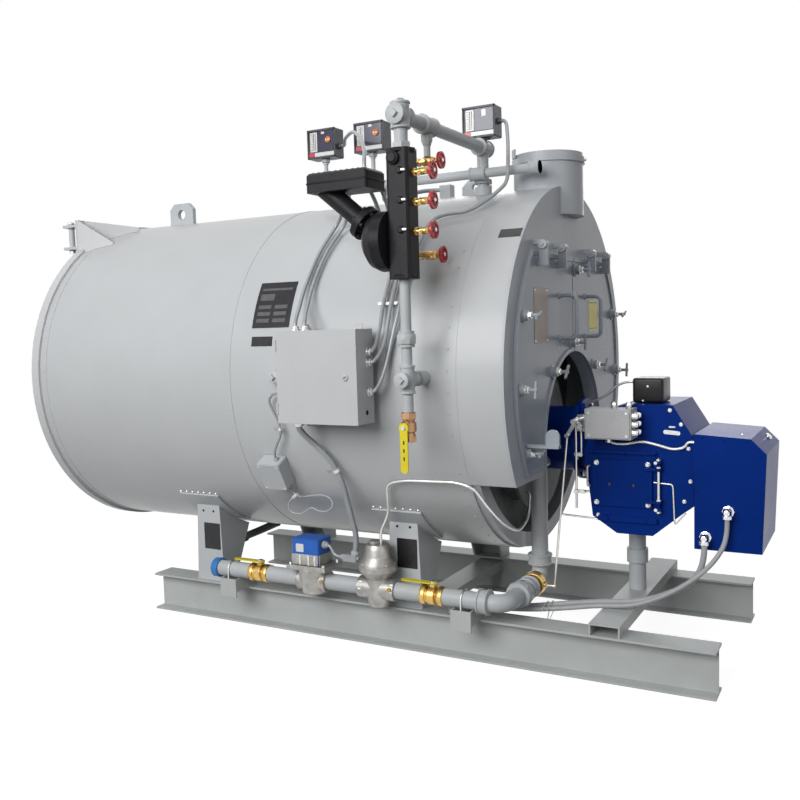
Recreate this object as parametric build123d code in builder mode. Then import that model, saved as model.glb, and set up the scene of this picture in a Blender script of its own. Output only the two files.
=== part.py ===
from build123d import *
import math
import os

os.makedirs("parts", exist_ok=True)

# Packaged fire-tube steam boiler on a two-beam skid, millimetres.
# X runs along the shell towards the burner, Y towards the far side, Z up from the floor.
# The origin lies on the floor under the middle of the whole machine.

# Placing of the skid and of the shell's axis
skid_rear_x = -951.5
axis_y = 96.0
axis_z = 987.0
paint_gap = 0.3
bend_share = 0.45
stem_clear = 0.3

# Skid: two wide-flange beams and the channels that tie them
beam_length = 2275.0
beam_height = 152.0
beam_flange_width = 102.0
beam_flange_thickness = 8.0
beam_web_thickness = 6.0
beam_spacing = 786.0
channel_width = 102.0
channel_height = 40.0
channel_thickness = 6.0
front_channel_from_rear = 1930.0
tie_channel_from_rear = 1195.0
tie_channel_drop = 12.0

# Brackets on the near beam that carry the gas train
gas_bracket_width = 76.0
gas_bracket_plate = 6.0
gas_bracket_low_z = 130.0
gas_bracket_reach = 38.0
gas_bracket_rest = 50.0
gas_bracket_inset = (70.0, 150.0)

# Shell: insulated jacket, front tubesheet and rear head
shell_radius = 665.0
jacket_thickness = 52.0
rear_head_overhang = 404.0
rear_head_depth = 40.0
rear_head_rim = 10.0
rear_cover_radius = 575.0
rear_cover_rise = 14.0
tubesheet_from_rear = 1560.0
tubesheet_thickness = 14.0
tubesheet_recess = 84.0
tubesheet_ring_gap = 0.4
front_ring_depth = 30.0
front_ring_width = 60.0
tube_hole_radius = 30.0
tube_pitch = 92.0
tube_hole_depth = 9.0
tube_field_radius = 540.0
tube_field_drop = 60.0
tube_furnace_clearance = 65.0
furnace_z = 735.0
furnace_radius = 285.0
furnace_mouth_depth = 12.0
furnace_mouth_lip = 40.0

# Davit bracket of the rear head
davit_off_axis = 400.0
davit_width = 52.0
davit_top_above_crown = 13.0
davit_plate_height = 150.0
davit_plate_thickness = 12.0
davit_near_gusset_reach = 165.0
davit_near_gusset_turn = 18.0
davit_near_gusset_fall = 105.0
davit_far_gusset_reach = 230.0
davit_far_gusset_turn = 42.0
davit_far_gusset_fall = 29.0
davit_fork_reach = 79.0
davit_fork_fall = 125.0
davit_fork_gap = 95.0
davit_pin_diameter = 26.0

# Saddles that carry the shell on the beams
rear_saddle_from_rear = 290.0
front_saddle_from_rear = 1195.0
saddle_foot_width = 138.0
saddle_head_width = 112.0
saddle_depth = 78.0
saddle_face_from_beam = 28.0
saddle_head_depth = 250.0
saddle_plate = 10.0
saddle_pad_length = 200.0
saddle_pad_thickness = 8.0
saddle_pad_half_angle = 9.0

# Smokebox at the front end
front_face_from_rear = 1690.0
front_plate_thickness = 8.0
wrapper_thickness = 6.0
smokebox_floor_z = 645.0
door_thickness = 8.0
door_radius = 590.0
door_top_z = 1398.0
door_bottom_z = 668.0
door_lap = 22.0
door_split_gap = 6.0
door_seat_gap = 0.3
arch_radius = 322.0
arch_rim = 14.0
arch_lip_depth = 34.0
arch_lip_thickness = 6.0
door_rim_height = 6.0
hinge_axis_up = 24.0
hinge_axis_out = 22.0
hinge_pin_radius = 6.0
hinge_pin_clearance = 0.3
hinge_inner_y = 175.0
hinge_outer_y = 370.0
hinge_strap_thickness = 14.0
hinge_strap_drop = 70.0
hinge_strap_foot = 24.0
hinge_ear_thickness = 8.0
hinge_ear_gap = 1.0
hinge_eye_radius = 15.0
hinge_pin_end = 5.0
handle_rod_radius = 7.0
handle_reach = 62.0
handle_off_axis = 150.0
handle_low_z = 1108.0
handle_height = 150.0
handle_bend = 20.0
dog_block = 34.0
dog_block_depth = 20.0
dog_bolt_radius = 6.0
dog_bolt_length = 40.0
dog_bar_length = 56.0
dog_block_gap = 8.0
dog_top_drop = 44.0
dog_edge_radius = 556.0
dog_arch_radius = 355.0
dog_arch_angle = 47.0
shelf_off_axis = 500.0
shelf_z = 776.0
shelf_reach = 112.0
shelf_width = 26.0
shelf_thickness = 10.0
shelf_lug_width = 46.0
shelf_lug_height = 50.0

# Flue outlet
flue_from_rear = 1612.0
flue_radius = 126.0
flue_wall = 5.0
flue_top_z = 1772.0
flue_bottom_z = 1548.0
flue_lip_height = 22.0
flue_lip_width = 6.0
flue_lip_drop = 14.0
flue_fit_gap = 0.5

# Lifting lugs and the conduit bracket between them, on the crown of the shell
lug_thickness = 20.0
rear_lug_from_rear = -145.0
rear_lug_width = 135.0
rear_lug_height = 101.0
rear_lug_hole_radius = 22.0
rear_lug_hole_rise = 51.0
front_lug_from_rear = 1327.0
front_lug_width = 115.0
front_lug_height = 63.0
front_lug_hole_radius = 17.0
front_lug_hole_rise = 33.0
lug_corner = 26.0
crown_bracket_from_rear = 1200.0
crown_bracket_width = 46.0
crown_bracket_height = 54.0

# Control panel on the near side of the shell
panel_left_from_rear = 945.0
panel_width = 305.0
panel_depth = 102.0
panel_low_z = 857.0
panel_height = 305.0
panel_sheet = 2.0
panel_off_shell = 33.0
panel_door_thickness = 2.0
panel_door_gap = 0.5
panel_hinge_radius = 5.0
panel_knuckle_length = 36.0
panel_knuckle_inset = 30.0
panel_latch_inset = 42.0
panel_standoff_inset = 50.0
panel_standoff_diameter = 30.0
shell_plug_from_panel = 95.0
shell_plug_rise = 15.0
shell_plug_length = 34.0
shell_plug_diameter = 52.0

# Water column, float chamber and low-water cut-off head
column_from_rear = 1417.0
column_off_axis = 775.0
column_low_z = 1310.0
column_high_z = 1700.0
column_width = 75.0
column_corner = 12.0
column_plug_shift = 8.0
column_plug_drop = 30.0
float_centre_z = 1427.5
float_radius = 92.0
float_depth = 87.0
neck_diameter = 62.0
neck_flange_radius = 55.0
neck_flange_half = 11.0
neck_flange_from_rear = 1283.5
neck_flange_z = 1489.5
neck_slope = 39.2
neck_sink = 62.0
head_from_rear = 1215.5
head_box_length = 221.0
head_box_depth = 120.0
head_low_z = 1590.0
head_high_z = 1651.0
head_corner = 10.0
head_top_bevel = 8.0

# Pipe sizes, outside diameters
pipe_one_inch = 33.4
pipe_one_and_quarter = 42.2
pipe_two_inch = 60.3
fitting_swell = 1.35

# Steam trim piping
cross_z = 1800.0
cross_reach = 36.0
riser_off_axis = 150.0
riser_foot_height = 24.0
manifold_z = 1703.0
manifold_offset_share = 0.7
manifold_rear_from_rear = 772.0
manifold_front_from_rear = 1650.0
gauge_stem_diameter = 22.0
control_stem_diameter = 16.0
control_two_from_rear = 985.0
control_z = 1881.0
control_three_rise = 7.0
control_width = 128.0
control_height = 112.0
control_depth = 60.0
control_corner = 6.0
try_cock_z_low = 1452.0
try_cock_pitch = 88.0
gauge_low_z = 1392.0
gauge_high_z = 1688.0
gauge_off_axis = 600.0
wheel_radius = 27.0
wheel_rim_width = 7.0
wheel_rim_thickness = 8.0
wheel_spoke_width = 5.0
wheel_hub = 8.0
wheel_stem_radius = 4.0
cock_length = 66.0
cock_radius = 11.0
cock_nozzle_diameter = 12.0
gauge_body_share = 1.3
gauge_body_back = 34.0
gauge_body_length = 82.0
gauge_nipple_diameter = 20.0

# Lower water connection and blowdown valve
drain_tee_z = 1002.0
drain_tee_reach = 40.0
blowdown_z = 855.0
blowdown_length = 92.0
blowdown_radius = 24.0
lever_width = 26.0
lever_thickness = 4.0
lever_off_body = 8.0
blowdown_lever_length = 128.0

# Gas train along the near beam
gas_off_beam = 97.0
gas_z = 232.0
gas_rear_from_rear = 395.0
gas_cock_one_from_rear = 600.0
gas_valve_from_rear = 848.5
gas_valve_half = 62.0
gas_valve_drop = 50.0
gas_regulator_from_rear = 1125.0
gas_regulator_half = 74.0
gas_cock_two_from_rear = 1344.0
gas_elbow_from_rear = 1612.0
gas_riser_off_axis = 150.0
gas_riser_top_z = 690.0
gas_bend = 46.0
gas_inlet_share = 0.8
gas_lever_length = 112.0
gas_cock_length = 86.0
gas_cock_radius = 34.0
gas_cap_radius = 36.0
gas_cap_length = 30.0
gas_union_off_axis = (380.0, 330.0)
gas_coupling_off_axis = (304.0, 268.0)
butterfly_off_axis = 222.0
butterfly_radius = 41.0
butterfly_half = 17.0
butterfly_stem_reach = 78.0
valve_flange_width = 169.0
valve_flange_depth = 120.0
valve_flange_low_z = 280.0
valve_flange_high_z = 297.0
actuator_shift = -8.5
actuator_width = 118.0
actuator_depth = 92.0
actuator_high_z = 394.0
actuator_corner = 8.0
regulator_top_z = 395.0
regulator_rim_radius = 68.5

# Burner
burner_half_width = 170.0
blast_tube_radius = 118.0
blast_flange_radius = 148.0
blast_flange_from_face = 42.0
blast_flange_thickness = 14.0
blast_tube_sink = 55.0
housing_rear_from_rear = 1786.0
housing_front_from_rear = 2162.0
housing_low_z = 430.0
housing_high_z = 879.0
recess_depth = 55.0
recess_inset = 14.0
cover_rear_from_rear = 1820.0
cover_front_from_rear = 2024.0
cover_low_z = 526.0
cover_high_z = 686.0
cover_thickness = 8.0
cover_gap = 1.0
cover_hinge_from_rear = 2047.0
cover_hinge_off = 6.0
hinge_rod_diameter = 10.0
hinge_arm_radius = 11.0
hinge_arm_height = 10.0
hinge_arm_inset = 24.0
hinge_rod_end = 10.0
ledge_depth = 12.0
motor_box_front_from_rear = 2386.0
motor_box_low_z = 402.0
motor_box_high_z = 786.0
motor_box_proud = 12.0
motor_box_bevel = 48.0
motor_box_top_fall = 11.0
motor_box_rake = 12.0
control_box_from_rear = (1945.0, 2050.0)
control_box_off_axis = (-120.0, 0.0)
control_box_height = 87.0
junction_box_from_rear = (1817.0, 1973.0)
junction_box_depth = 87.0
junction_box_z = (768.0, 870.0)
support_pipe_from_rear = 1930.0
union_height = 50.0
union_rise = 100.0
jackshaft_from_rear = 1763.0
jackshaft_z = 820.0
jackshaft_diameter = 12.0
jackshaft_off_axis = (-215.0, -90.0)
jackshaft_block = 30.0
linkage_plane = 168.0
linkage_rod_diameter = 8.0
crank_reach = 14.0
crank_drop = 26.0
crank_rod_length = 94.0
gas_crank_reach = 32.0
gas_crank_drop = 54.0
linkage_bar_width = 13.0
linkage_bar_thickness = 5.0
damper_shaft_z = 568.0
damper_rod_low_z = 508.0

# Leads, conduits and the sensor box on the shell
shell_conduit_diameter = 13.0
gas_conduit_diameter = 20.0
crown_conduit_diameter = 16.0
actuator_flex_diameter = 12.0
conduit_body_from_rear = (988.0, 1044.0)
conduit_body_z = (322.0, 348.0)
sensor_lead_diameter = 9.0
sensor_box_from_rear = 775.0
sensor_box_angle = 29.0
sensor_box_width = 100.0
sensor_box_height = 115.0
sensor_box_depth = 55.0
sensor_box_corner = 8.0
sensor_cord_diameter = 6.0
connector_diameter = 14.0
connector_length = 28.0
sensing_tube_diameter = 10.0
burner_flex_diameter = 10.0
scanner_cable_diameter = 8.0
motor_cord_one_diameter = 16.0
motor_cord_two_diameter = 20.0
cord_fitting_diameter = 26.0
cord_fitting_reach = 24.0
cord_fitting_drop = 22.0
cord_fitting_one_from_rear = 2270.0
cord_fitting_one_z = 536.0
cord_fitting_two_from_rear = 2199.0
cord_fitting_two_z = 446.0
cord_box_from_rear = (1366.0, 1422.0)
cord_box_off_axis = (-420.0, -320.0)
cord_box_high_z = 206.0
cord_gland_length = 20.0
cord_gland_wall = 4.0
cord_gland_z = 178.0
motor_cord_one_end_y = -374.0
motor_cord_two_end_y = -338.0

# Values worked out from the sizes above
near_beam_y = axis_y - beam_spacing / 2
far_beam_y = axis_y + beam_spacing / 2
shell_front_x = skid_rear_x + tubesheet_from_rear
front_face_x = skid_rear_x + front_face_from_rear
rear_end_x = skid_rear_x - rear_head_overhang
shell_rear_x = rear_end_x + rear_head_depth
door_back_x = front_face_x + door_seat_gap
door_face_x = door_back_x + door_thickness
hinge_x = door_face_x + hinge_axis_out
hinge_z = door_top_z + hinge_axis_up
davit_top_z = axis_z + shell_radius + davit_top_above_crown
column_x = skid_rear_x + column_from_rear
column_y = axis_y - column_off_axis
gas_y = near_beam_y - gas_off_beam
burner_near_y = axis_y - burner_half_width
panel_x0 = skid_rear_x + panel_left_from_rear
panel_x1 = panel_x0 + panel_width
panel_back_y = axis_y - shell_radius - panel_off_shell
panel_front_y = panel_back_y - panel_depth
panel_top_z = panel_low_z + panel_height


def save(shape, label):
    shape.label = label
    export_step(shape, f"parts/{label}.step")


def along(x, y, z):
    """Point given from the skid's rear end, the shell's axis and the floor."""
    return (skid_rear_x + x, axis_y + y, z)


def box_part(x0, x1, y0, y1, z0, z1):
    with BuildPart() as block:
        with BuildSketch(Plane.XY.offset(z0)):
            with Locations(((x0 + x1) / 2, (y0 + y1) / 2)):
                Rectangle(x1 - x0, y1 - y0)
        extrude(amount=z1 - z0)
    return block.part


def rod_part(start, end, diameter):
    direction = Vector(*end) - Vector(*start)
    with BuildPart() as rod:
        with BuildSketch(Plane(origin=start, z_dir=direction)):
            Circle(diameter / 2)
        extrude(amount=direction.length)
    return rod.part


def bent_part(points, diameter, bends):
    with BuildPart() as run:
        with BuildLine() as path:
            FilletPolyline(*points, radius=bends)
        with BuildSketch(Plane(origin=points[0], z_dir=path.line % 0)):
            Circle(diameter / 2)
        sweep(path=path.line)
    return run.part


def lead_bends(points):
    """The widest bend that each corner of a route has room for."""
    bends = []
    for before, corner, after in zip(points, points[1:], points[2:]):
        arriving = Vector(*corner) - Vector(*before)
        leaving = Vector(*after) - Vector(*corner)
        half_turn = math.radians(arriving.get_angle(leaving)) / 2
        bends.append(bend_share * min(arriving.length, leaving.length) / math.tan(half_turn))
    return bends


def lead_part(points, diameter):
    """Cable along a route of straight runs joined by bends."""
    return bent_part(points, diameter, lead_bends(points))


def turned_part(origin, direction, steps):
    """Round body on an axis: steps are (distance along the axis, radius) pairs."""
    frame = Plane(origin=origin, z_dir=direction)
    with BuildPart() as body:
        with BuildSketch(Plane(origin=origin, x_dir=frame.x_dir, z_dir=-frame.y_dir)):
            with BuildLine():
                Polyline((0, steps[0][0]), *[(r, d) for d, r in steps], (0, steps[-1][0]), close=True)
            make_face()
        revolve(axis=Axis(origin, direction))
    return body.part


def plate_part(corners, y, thickness):
    """Flat plate in the XZ plane, standing from y towards the far side."""
    with BuildPart() as plate:
        with BuildSketch(Plane.XZ.offset(-y)):
            with BuildLine():
                Polyline(*corners, close=True)
            make_face()
        extrude(amount=-thickness)
    return plate.part


def joined(*shapes):
    with BuildPart() as whole:
        add(list(shapes))
    return whole.part


def drum_sketch(outer, inner, x):
    with BuildSketch(Plane.YZ.offset(x)) as ring:
        with Locations((axis_y, axis_z)):
            Circle(outer)
            if inner:
                Circle(inner, mode=Mode.SUBTRACT)
    return ring.sketch


def cleared_of_shell(shape, radius=shell_radius + paint_gap):
    """Cuts away what would lie inside the shell's drum."""
    box = shape.bounding_box()
    with BuildPart() as outside:
        add(shape)
        extrude(drum_sketch(radius, 0, box.min.X - 1), amount=box.size.X + 2, mode=Mode.SUBTRACT)
    return outside.part


# Skid beams: rolled wide-flange sections, flange tips square
def beam_part(y):
    with BuildPart() as beam:
        with BuildSketch(Plane.YZ.offset(skid_rear_x)):
            with Locations((y, beam_height / 2)):
                Rectangle(beam_web_thickness, beam_height)
            with Locations((y, beam_flange_thickness / 2), (y, beam_height - beam_flange_thickness / 2)):
                Rectangle(beam_flange_width, beam_flange_thickness)
        extrude(amount=beam_length)
    return beam.part


save(beam_part(far_beam_y), "skid_beam_far")


# Folded brackets on the near beam: two side plates and a lip that hangs in front, under the gas pipe
def gas_bracket(x):
    half = gas_bracket_width / 2
    outer_y = gas_y - gas_bracket_reach
    inner_y = near_beam_y - beam_flange_width / 2 + gas_bracket_rest
    top_z = gas_z - pipe_two_inch / 2 - paint_gap
    plate = gas_bracket_plate
    return joined(
        box_part(x - half, x - half + plate, outer_y, inner_y, beam_height, top_z),
        box_part(x + half - plate, x + half, outer_y, inner_y, beam_height, top_z),
        box_part(x - half, x + half, outer_y, outer_y + plate, gas_bracket_low_z, top_z),
    )


# Terminal box on the near beam where the two motor leads end, with a gland for each
def cord_gland(y, diameter):
    face_x = skid_rear_x + cord_box_from_rear[1]
    return rod_part(
        (face_x, axis_y + y, cord_gland_z),
        (face_x + cord_gland_length, axis_y + y, cord_gland_z),
        diameter + 2 * cord_gland_wall,
    )


cord_box = box_part(
    skid_rear_x + cord_box_from_rear[0],
    skid_rear_x + cord_box_from_rear[1],
    axis_y + cord_box_off_axis[0],
    axis_y + cord_box_off_axis[1],
    beam_height,
    cord_box_high_z,
)
gas_bracket_stations = (gas_rear_from_rear + gas_bracket_inset[0], gas_elbow_from_rear - gas_bracket_inset[1])
save(
    joined(
        beam_part(near_beam_y),
        cord_box,
        cord_gland(motor_cord_one_end_y, motor_cord_one_diameter),
        cord_gland(motor_cord_two_end_y, motor_cord_two_diameter),
        *[gas_bracket(skid_rear_x + station) for station in gas_bracket_stations],
    ),
    "skid_beam_near",
)


# Channels: one across the beams carries the burner's support pipe, one ties the webs below the shell
def channel_part(x, y0, y1, top_z):
    with BuildPart() as channel:
        with BuildSketch(Plane.XZ.offset(-y0)):
            with Locations((x, top_z - channel_height / 2)):
                Rectangle(channel_width, channel_height)
            with Locations((x, top_z - channel_thickness - channel_height / 2)):
                Rectangle(channel_width - 2 * channel_thickness, channel_height, mode=Mode.SUBTRACT)
        extrude(amount=-(y1 - y0))
    return channel.part


front_channel_x = skid_rear_x + front_channel_from_rear
front_channel_top = beam_height + channel_height
channel_reach = beam_spacing / 2 + beam_flange_width / 2
save(
    channel_part(front_channel_x, axis_y - channel_reach, axis_y + channel_reach, front_channel_top),
    "front_cross_channel",
)
tie_half = beam_spacing / 2 - beam_web_thickness / 2
tie_channel_top = beam_height - beam_flange_thickness - tie_channel_drop
save(
    channel_part(skid_rear_x + tie_channel_from_rear, axis_y - tie_half, axis_y + tie_half, tie_channel_top),
    "tie_channel",
)


# Saddles: folded plate legs, open at the back, with a curved pad under the jacket
def saddle_part(x, side):
    beam_y = axis_y + side * beam_spacing / 2
    outer_y = beam_y + side * saddle_face_from_beam
    inner_foot_y = outer_y - side * saddle_depth
    inner_head_y = outer_y - side * saddle_head_depth
    head_z = axis_z - math.sqrt(shell_radius**2 - (outer_y - axis_y) ** 2) + saddle_plate
    pad_radius = shell_radius + saddle_pad_thickness

    with BuildPart() as leg:
        with BuildSketch(Plane.XY.offset(beam_height)):
            with Locations((x, (outer_y + inner_foot_y) / 2)):
                Rectangle(saddle_foot_width, saddle_depth)
        with BuildSketch(Plane.XY.offset(head_z)):
            with Locations((x, (outer_y + inner_head_y) / 2)):
                Rectangle(saddle_head_width, saddle_head_depth)
        loft()
        with BuildSketch(Plane.XY.offset(beam_height)):
            with Locations((x, (outer_y + inner_foot_y) / 2 - side * saddle_plate)):
                Rectangle(saddle_foot_width - 2 * saddle_plate, saddle_depth)
        with BuildSketch(Plane.XY.offset(head_z)):
            with Locations((x, (outer_y + inner_head_y) / 2 - side * saddle_plate)):
                Rectangle(saddle_head_width - 2 * saddle_plate, saddle_head_depth)
        loft(mode=Mode.SUBTRACT)
        extrude(
            drum_sketch(pad_radius, 0, x - saddle_foot_width),
            amount=2 * saddle_foot_width,
            mode=Mode.SUBTRACT,
        )
    pad_angle = math.degrees(math.acos((beam_spacing / 2) / shell_radius))
    pad_start = -90 + side * (90 - pad_angle) - saddle_pad_half_angle
    with BuildPart() as pad:
        with BuildSketch(Plane.YZ.offset(x - saddle_pad_length / 2)):
            with BuildLine():
                centre = (axis_y, axis_z)
                inner = CenterArc(centre, shell_radius + paint_gap, pad_start, 2 * saddle_pad_half_angle)
                outer = CenterArc(centre, pad_radius, pad_start, 2 * saddle_pad_half_angle)
                Line(inner @ 0, outer @ 0)
                Line(inner @ 1, outer @ 1)
            make_face()
        extrude(amount=saddle_pad_length)
    return joined(leg.part, pad.part)


for station, place in ((rear_saddle_from_rear, "rear"), (front_saddle_from_rear, "front")):
    save(joined(*[saddle_part(skid_rear_x + station, side) for side in (-1, 1)]), f"{place}_saddles")


# Every plate the flue passes through is cut by the same round hole
def flue_hole(z):
    with BuildSketch(Plane.XY.offset(z)) as hole:
        with Locations((skid_rear_x + flue_from_rear, axis_y)):
            Circle(flue_radius + flue_fit_gap)
    return hole.sketch


# Shell jacket: sheet-clad insulated drum
jacket_front_x = shell_front_x - front_ring_depth
jacket_length = jacket_front_x - shell_rear_x
with BuildPart() as jacket:
    extrude(drum_sketch(shell_radius, shell_radius - jacket_thickness, shell_rear_x), amount=jacket_length)
    extrude(flue_hole(axis_z), amount=2 * shell_radius, mode=Mode.SUBTRACT)
save(jacket.part, "shell_jacket")

# Rear head: flanged ring with a shallow round cover bolted on it
rear_rim_radius = shell_radius + rear_head_rim
rear_head = turned_part(
    (shell_rear_x, axis_y, axis_z),
    (-1, 0, 0),
    [
        (0, rear_rim_radius),
        (rear_head_depth, rear_rim_radius),
        (rear_head_depth, rear_cover_radius),
        (rear_head_depth + rear_cover_rise, rear_cover_radius - rear_cover_rise),
    ],
)
save(rear_head, "rear_head")


# Davit bracket at the rear: plate on the head's rim, two splayed gussets and a forked lug with its pin
def davit_gusset(y, turn, reach, fall):
    c = math.cos(math.radians(turn))
    s = math.sin(math.radians(turn))
    low_z = davit_top_z - davit_plate_height
    plane = Plane(origin=(rear_end_x + davit_plate_thickness, y, 0), x_dir=(c, s, 0), z_dir=(s, -c, 0))
    with BuildPart() as gusset:
        with BuildSketch(plane):
            with BuildLine():
                Polyline(
                    (0, low_z), (0, davit_top_z), (reach, davit_top_z - fall), (reach, low_z), close=True
                )
            make_face()
        extrude(amount=-davit_plate_thickness)
    return gusset.part


davit_y0 = axis_y - davit_off_axis
davit_y1 = davit_y0 + davit_width
with BuildPart() as davit:
    add(
        [
            box_part(
                rear_end_x,
                rear_end_x + davit_plate_thickness,
                davit_y0,
                davit_y1,
                davit_top_z - davit_plate_height,
                davit_top_z,
            ),
            davit_gusset(davit_y0, davit_near_gusset_turn, davit_near_gusset_reach, davit_near_gusset_fall),
            davit_gusset(
                davit_y1 - davit_plate_thickness,
                davit_far_gusset_turn,
                davit_far_gusset_reach,
                davit_far_gusset_fall,
            ),
        ]
    )
    rim_sketch = drum_sketch(rear_rim_radius + paint_gap, 0, rear_end_x)
    extrude(rim_sketch, amount=rear_head_depth + paint_gap, mode=Mode.SUBTRACT)
    shell_sketch = drum_sketch(shell_radius + paint_gap, 0, rear_end_x)
    extrude(shell_sketch, amount=2 * davit_far_gusset_reach, mode=Mode.SUBTRACT)
fork_x0 = rear_end_x - davit_fork_reach
davit_fork_low_z = davit_top_z - davit_fork_fall
fork_zs = (davit_fork_low_z, davit_fork_low_z + davit_fork_gap)
fork = [box_part(fork_x0, rear_end_x, davit_y0, davit_y1, z, z + davit_plate_thickness) for z in fork_zs]
fork_pin = rod_part(
    (fork_x0 + davit_width / 2, davit_y0 + davit_width / 2, fork_zs[0] - davit_plate_thickness / 2),
    (fork_x0 + davit_width / 2, davit_y0 + davit_width / 2, fork_zs[1] + davit_plate_thickness * 1.5),
    davit_pin_diameter,
)
save(joined(davit.part, *fork, fork_pin), "rear_davit_bracket")

# Front ring flange, which joins the jacket, the tubesheet and the smokebox
front_ring_radius = shell_radius - wrapper_thickness - tubesheet_ring_gap
with BuildPart() as front_ring:
    extrude(
        drum_sketch(
            front_ring_radius, shell_radius - front_ring_width, jacket_front_x
        ), amount=front_ring_depth
    )
    extrude(flue_hole(axis_z), amount=2 * shell_radius, mode=Mode.SUBTRACT)
save(front_ring.part, "front_ring_flange")

# Front tubesheet with its rows of tube ends and the flanged mouth of the furnace
sheet_face_x = shell_front_x - tubesheet_recess
row_pitch = tube_pitch * math.sqrt(3) / 2
row_count = int(tube_field_radius // tube_pitch)
tube_spots = []
for row in range(-row_count, row_count + 1):
    z = axis_z + row * row_pitch
    for place in range(-row_count, row_count + 1):
        y = axis_y + (place + (row % 2) / 2) * tube_pitch
        inside = math.hypot(y - axis_y, z - axis_z) < tube_field_radius
        clear = math.hypot(y - axis_y, z - furnace_z) > furnace_radius + tube_furnace_clearance
        if inside and clear and z > axis_z - tube_field_drop:
            tube_spots.append((y, z))
with BuildPart() as tubesheet:
    sheet_radius = shell_radius - jacket_thickness - tubesheet_ring_gap
    extrude(drum_sketch(sheet_radius, 0, sheet_face_x - tubesheet_thickness), amount=tubesheet_thickness)
    with BuildSketch(Plane.YZ.offset(sheet_face_x)):
        with Locations(*tube_spots):
            Circle(tube_hole_radius)
    extrude(amount=-tube_hole_depth, mode=Mode.SUBTRACT)
collar_x = shell_front_x - furnace_mouth_depth / 2
mouth_bore = blast_tube_radius + paint_gap
with BuildPart() as furnace_mouth:
    with BuildSketch(Plane.YZ.offset(sheet_face_x)):
        with Locations((axis_y, furnace_z)):
            Circle(furnace_radius - furnace_mouth_lip)
            Circle(mouth_bore, mode=Mode.SUBTRACT)
    extrude(amount=collar_x - sheet_face_x)
    with BuildSketch(Plane.YZ.offset(collar_x)):
        with Locations((axis_y, furnace_z)):
            Circle(furnace_radius)
            Circle(mouth_bore, mode=Mode.SUBTRACT)
    extrude(amount=furnace_mouth_depth)
save(joined(tubesheet.part, furnace_mouth.part), "front_tubesheet")

# Smokebox wrapper: rolled plate from the jacket to the front plate, open below its floor line
wrapper_rear_x = jacket_front_x + paint_gap
wrapper_front_x = front_face_x - front_plate_thickness
wrapper_length = wrapper_front_x - wrapper_rear_x
with BuildPart() as wrapper:
    extrude(
        drum_sketch(shell_radius, shell_radius - wrapper_thickness, wrapper_rear_x), amount=wrapper_length
    )
    with BuildSketch(Plane.XY.offset(smokebox_floor_z)):
        with Locations((front_face_x, axis_y)):
            Rectangle(4 * wrapper_length, 3 * shell_radius)
    extrude(amount=-2 * shell_radius, mode=Mode.SUBTRACT)
    extrude(flue_hole(axis_z), amount=2 * shell_radius, mode=Mode.SUBTRACT)
save(wrapper.part, "smokebox_wrapper")


# Front plate: round above, level below, open behind the doors, with an arch round the burner
def chord_disc(x, radius, low, high):
    with BuildSketch(Plane.YZ.offset(x)) as face:
        with Locations((axis_y, axis_z)):
            Circle(radius)
        with Locations((axis_y, low - shell_radius)):
            Rectangle(3 * shell_radius, 2 * shell_radius, mode=Mode.SUBTRACT)
        with Locations((axis_y, high + shell_radius)):
            Rectangle(3 * shell_radius, 2 * shell_radius, mode=Mode.SUBTRACT)
    return face.sketch


def arch_sketch(x, grow):
    radius = arch_radius + grow
    with BuildSketch(Plane.YZ.offset(x)) as arch:
        with Locations((axis_y, furnace_z)):
            Circle(radius)
        with Locations((axis_y, furnace_z - radius / 2)):
            Rectangle(2 * radius, radius)
        with Locations((axis_y, smokebox_floor_z - 2 * radius)):
            Rectangle(4 * radius, 4 * radius, mode=Mode.SUBTRACT)
    return arch.sketch


shell_top_z = axis_z + shell_radius
door_hole_radius = door_radius - door_lap
arch_lip_x = wrapper_front_x - arch_lip_depth
with BuildPart() as front_plate:
    plate_sketch = chord_disc(wrapper_front_x, shell_radius, smokebox_floor_z, shell_top_z)
    extrude(plate_sketch, amount=front_plate_thickness)
    hole_sketch = chord_disc(
        wrapper_front_x, door_hole_radius, door_bottom_z + door_lap, door_top_z - door_lap
    )
    extrude(hole_sketch, amount=front_plate_thickness, mode=Mode.SUBTRACT)
    arch_hole = arch_sketch(wrapper_front_x, arch_lip_thickness + paint_gap)
    extrude(arch_hole, amount=front_plate_thickness, mode=Mode.SUBTRACT)
    extrude(flue_hole(flue_bottom_z - flue_fit_gap), amount=2 * shell_radius, mode=Mode.SUBTRACT)
with BuildPart() as arch_lip:
    extrude(arch_sketch(arch_lip_x, arch_lip_thickness), amount=arch_lip_depth + front_plate_thickness)
    extrude(arch_sketch(arch_lip_x, 0), amount=arch_lip_depth + front_plate_thickness, mode=Mode.SUBTRACT)
save(joined(front_plate.part, arch_lip.part), "smokebox_front_plate")

# Flue outlet: rolled stub with a lip, closed below by a half-moon where it stands out of the front plate
flue_x = skid_rear_x + flue_from_rear
flue_wall_z = flue_bottom_z + flue_wall
flue_lip_z = flue_top_z - flue_lip_drop - flue_lip_height
with BuildPart() as flue:
    for radius, low_z, high_z in (
        (flue_radius, flue_wall_z, flue_top_z),
        (flue_radius + flue_lip_width, flue_lip_z, flue_lip_z + flue_lip_height),
    ):
        with BuildSketch(Plane.XY.offset(low_z)):
            with Locations((flue_x, axis_y)):
                Circle(radius)
                Circle(flue_radius - flue_wall, mode=Mode.SUBTRACT)
        extrude(amount=high_z - low_z)
    with BuildSketch(Plane.XY.offset(flue_bottom_z)):
        with Locations((flue_x, axis_y)):
            Circle(flue_radius)
        with Locations((front_face_x - flue_radius, axis_y)):
            Rectangle(2 * flue_radius, 3 * flue_radius, mode=Mode.SUBTRACT)
    extrude(amount=flue_wall)
save(flue.part, "flue_outlet")


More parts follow.
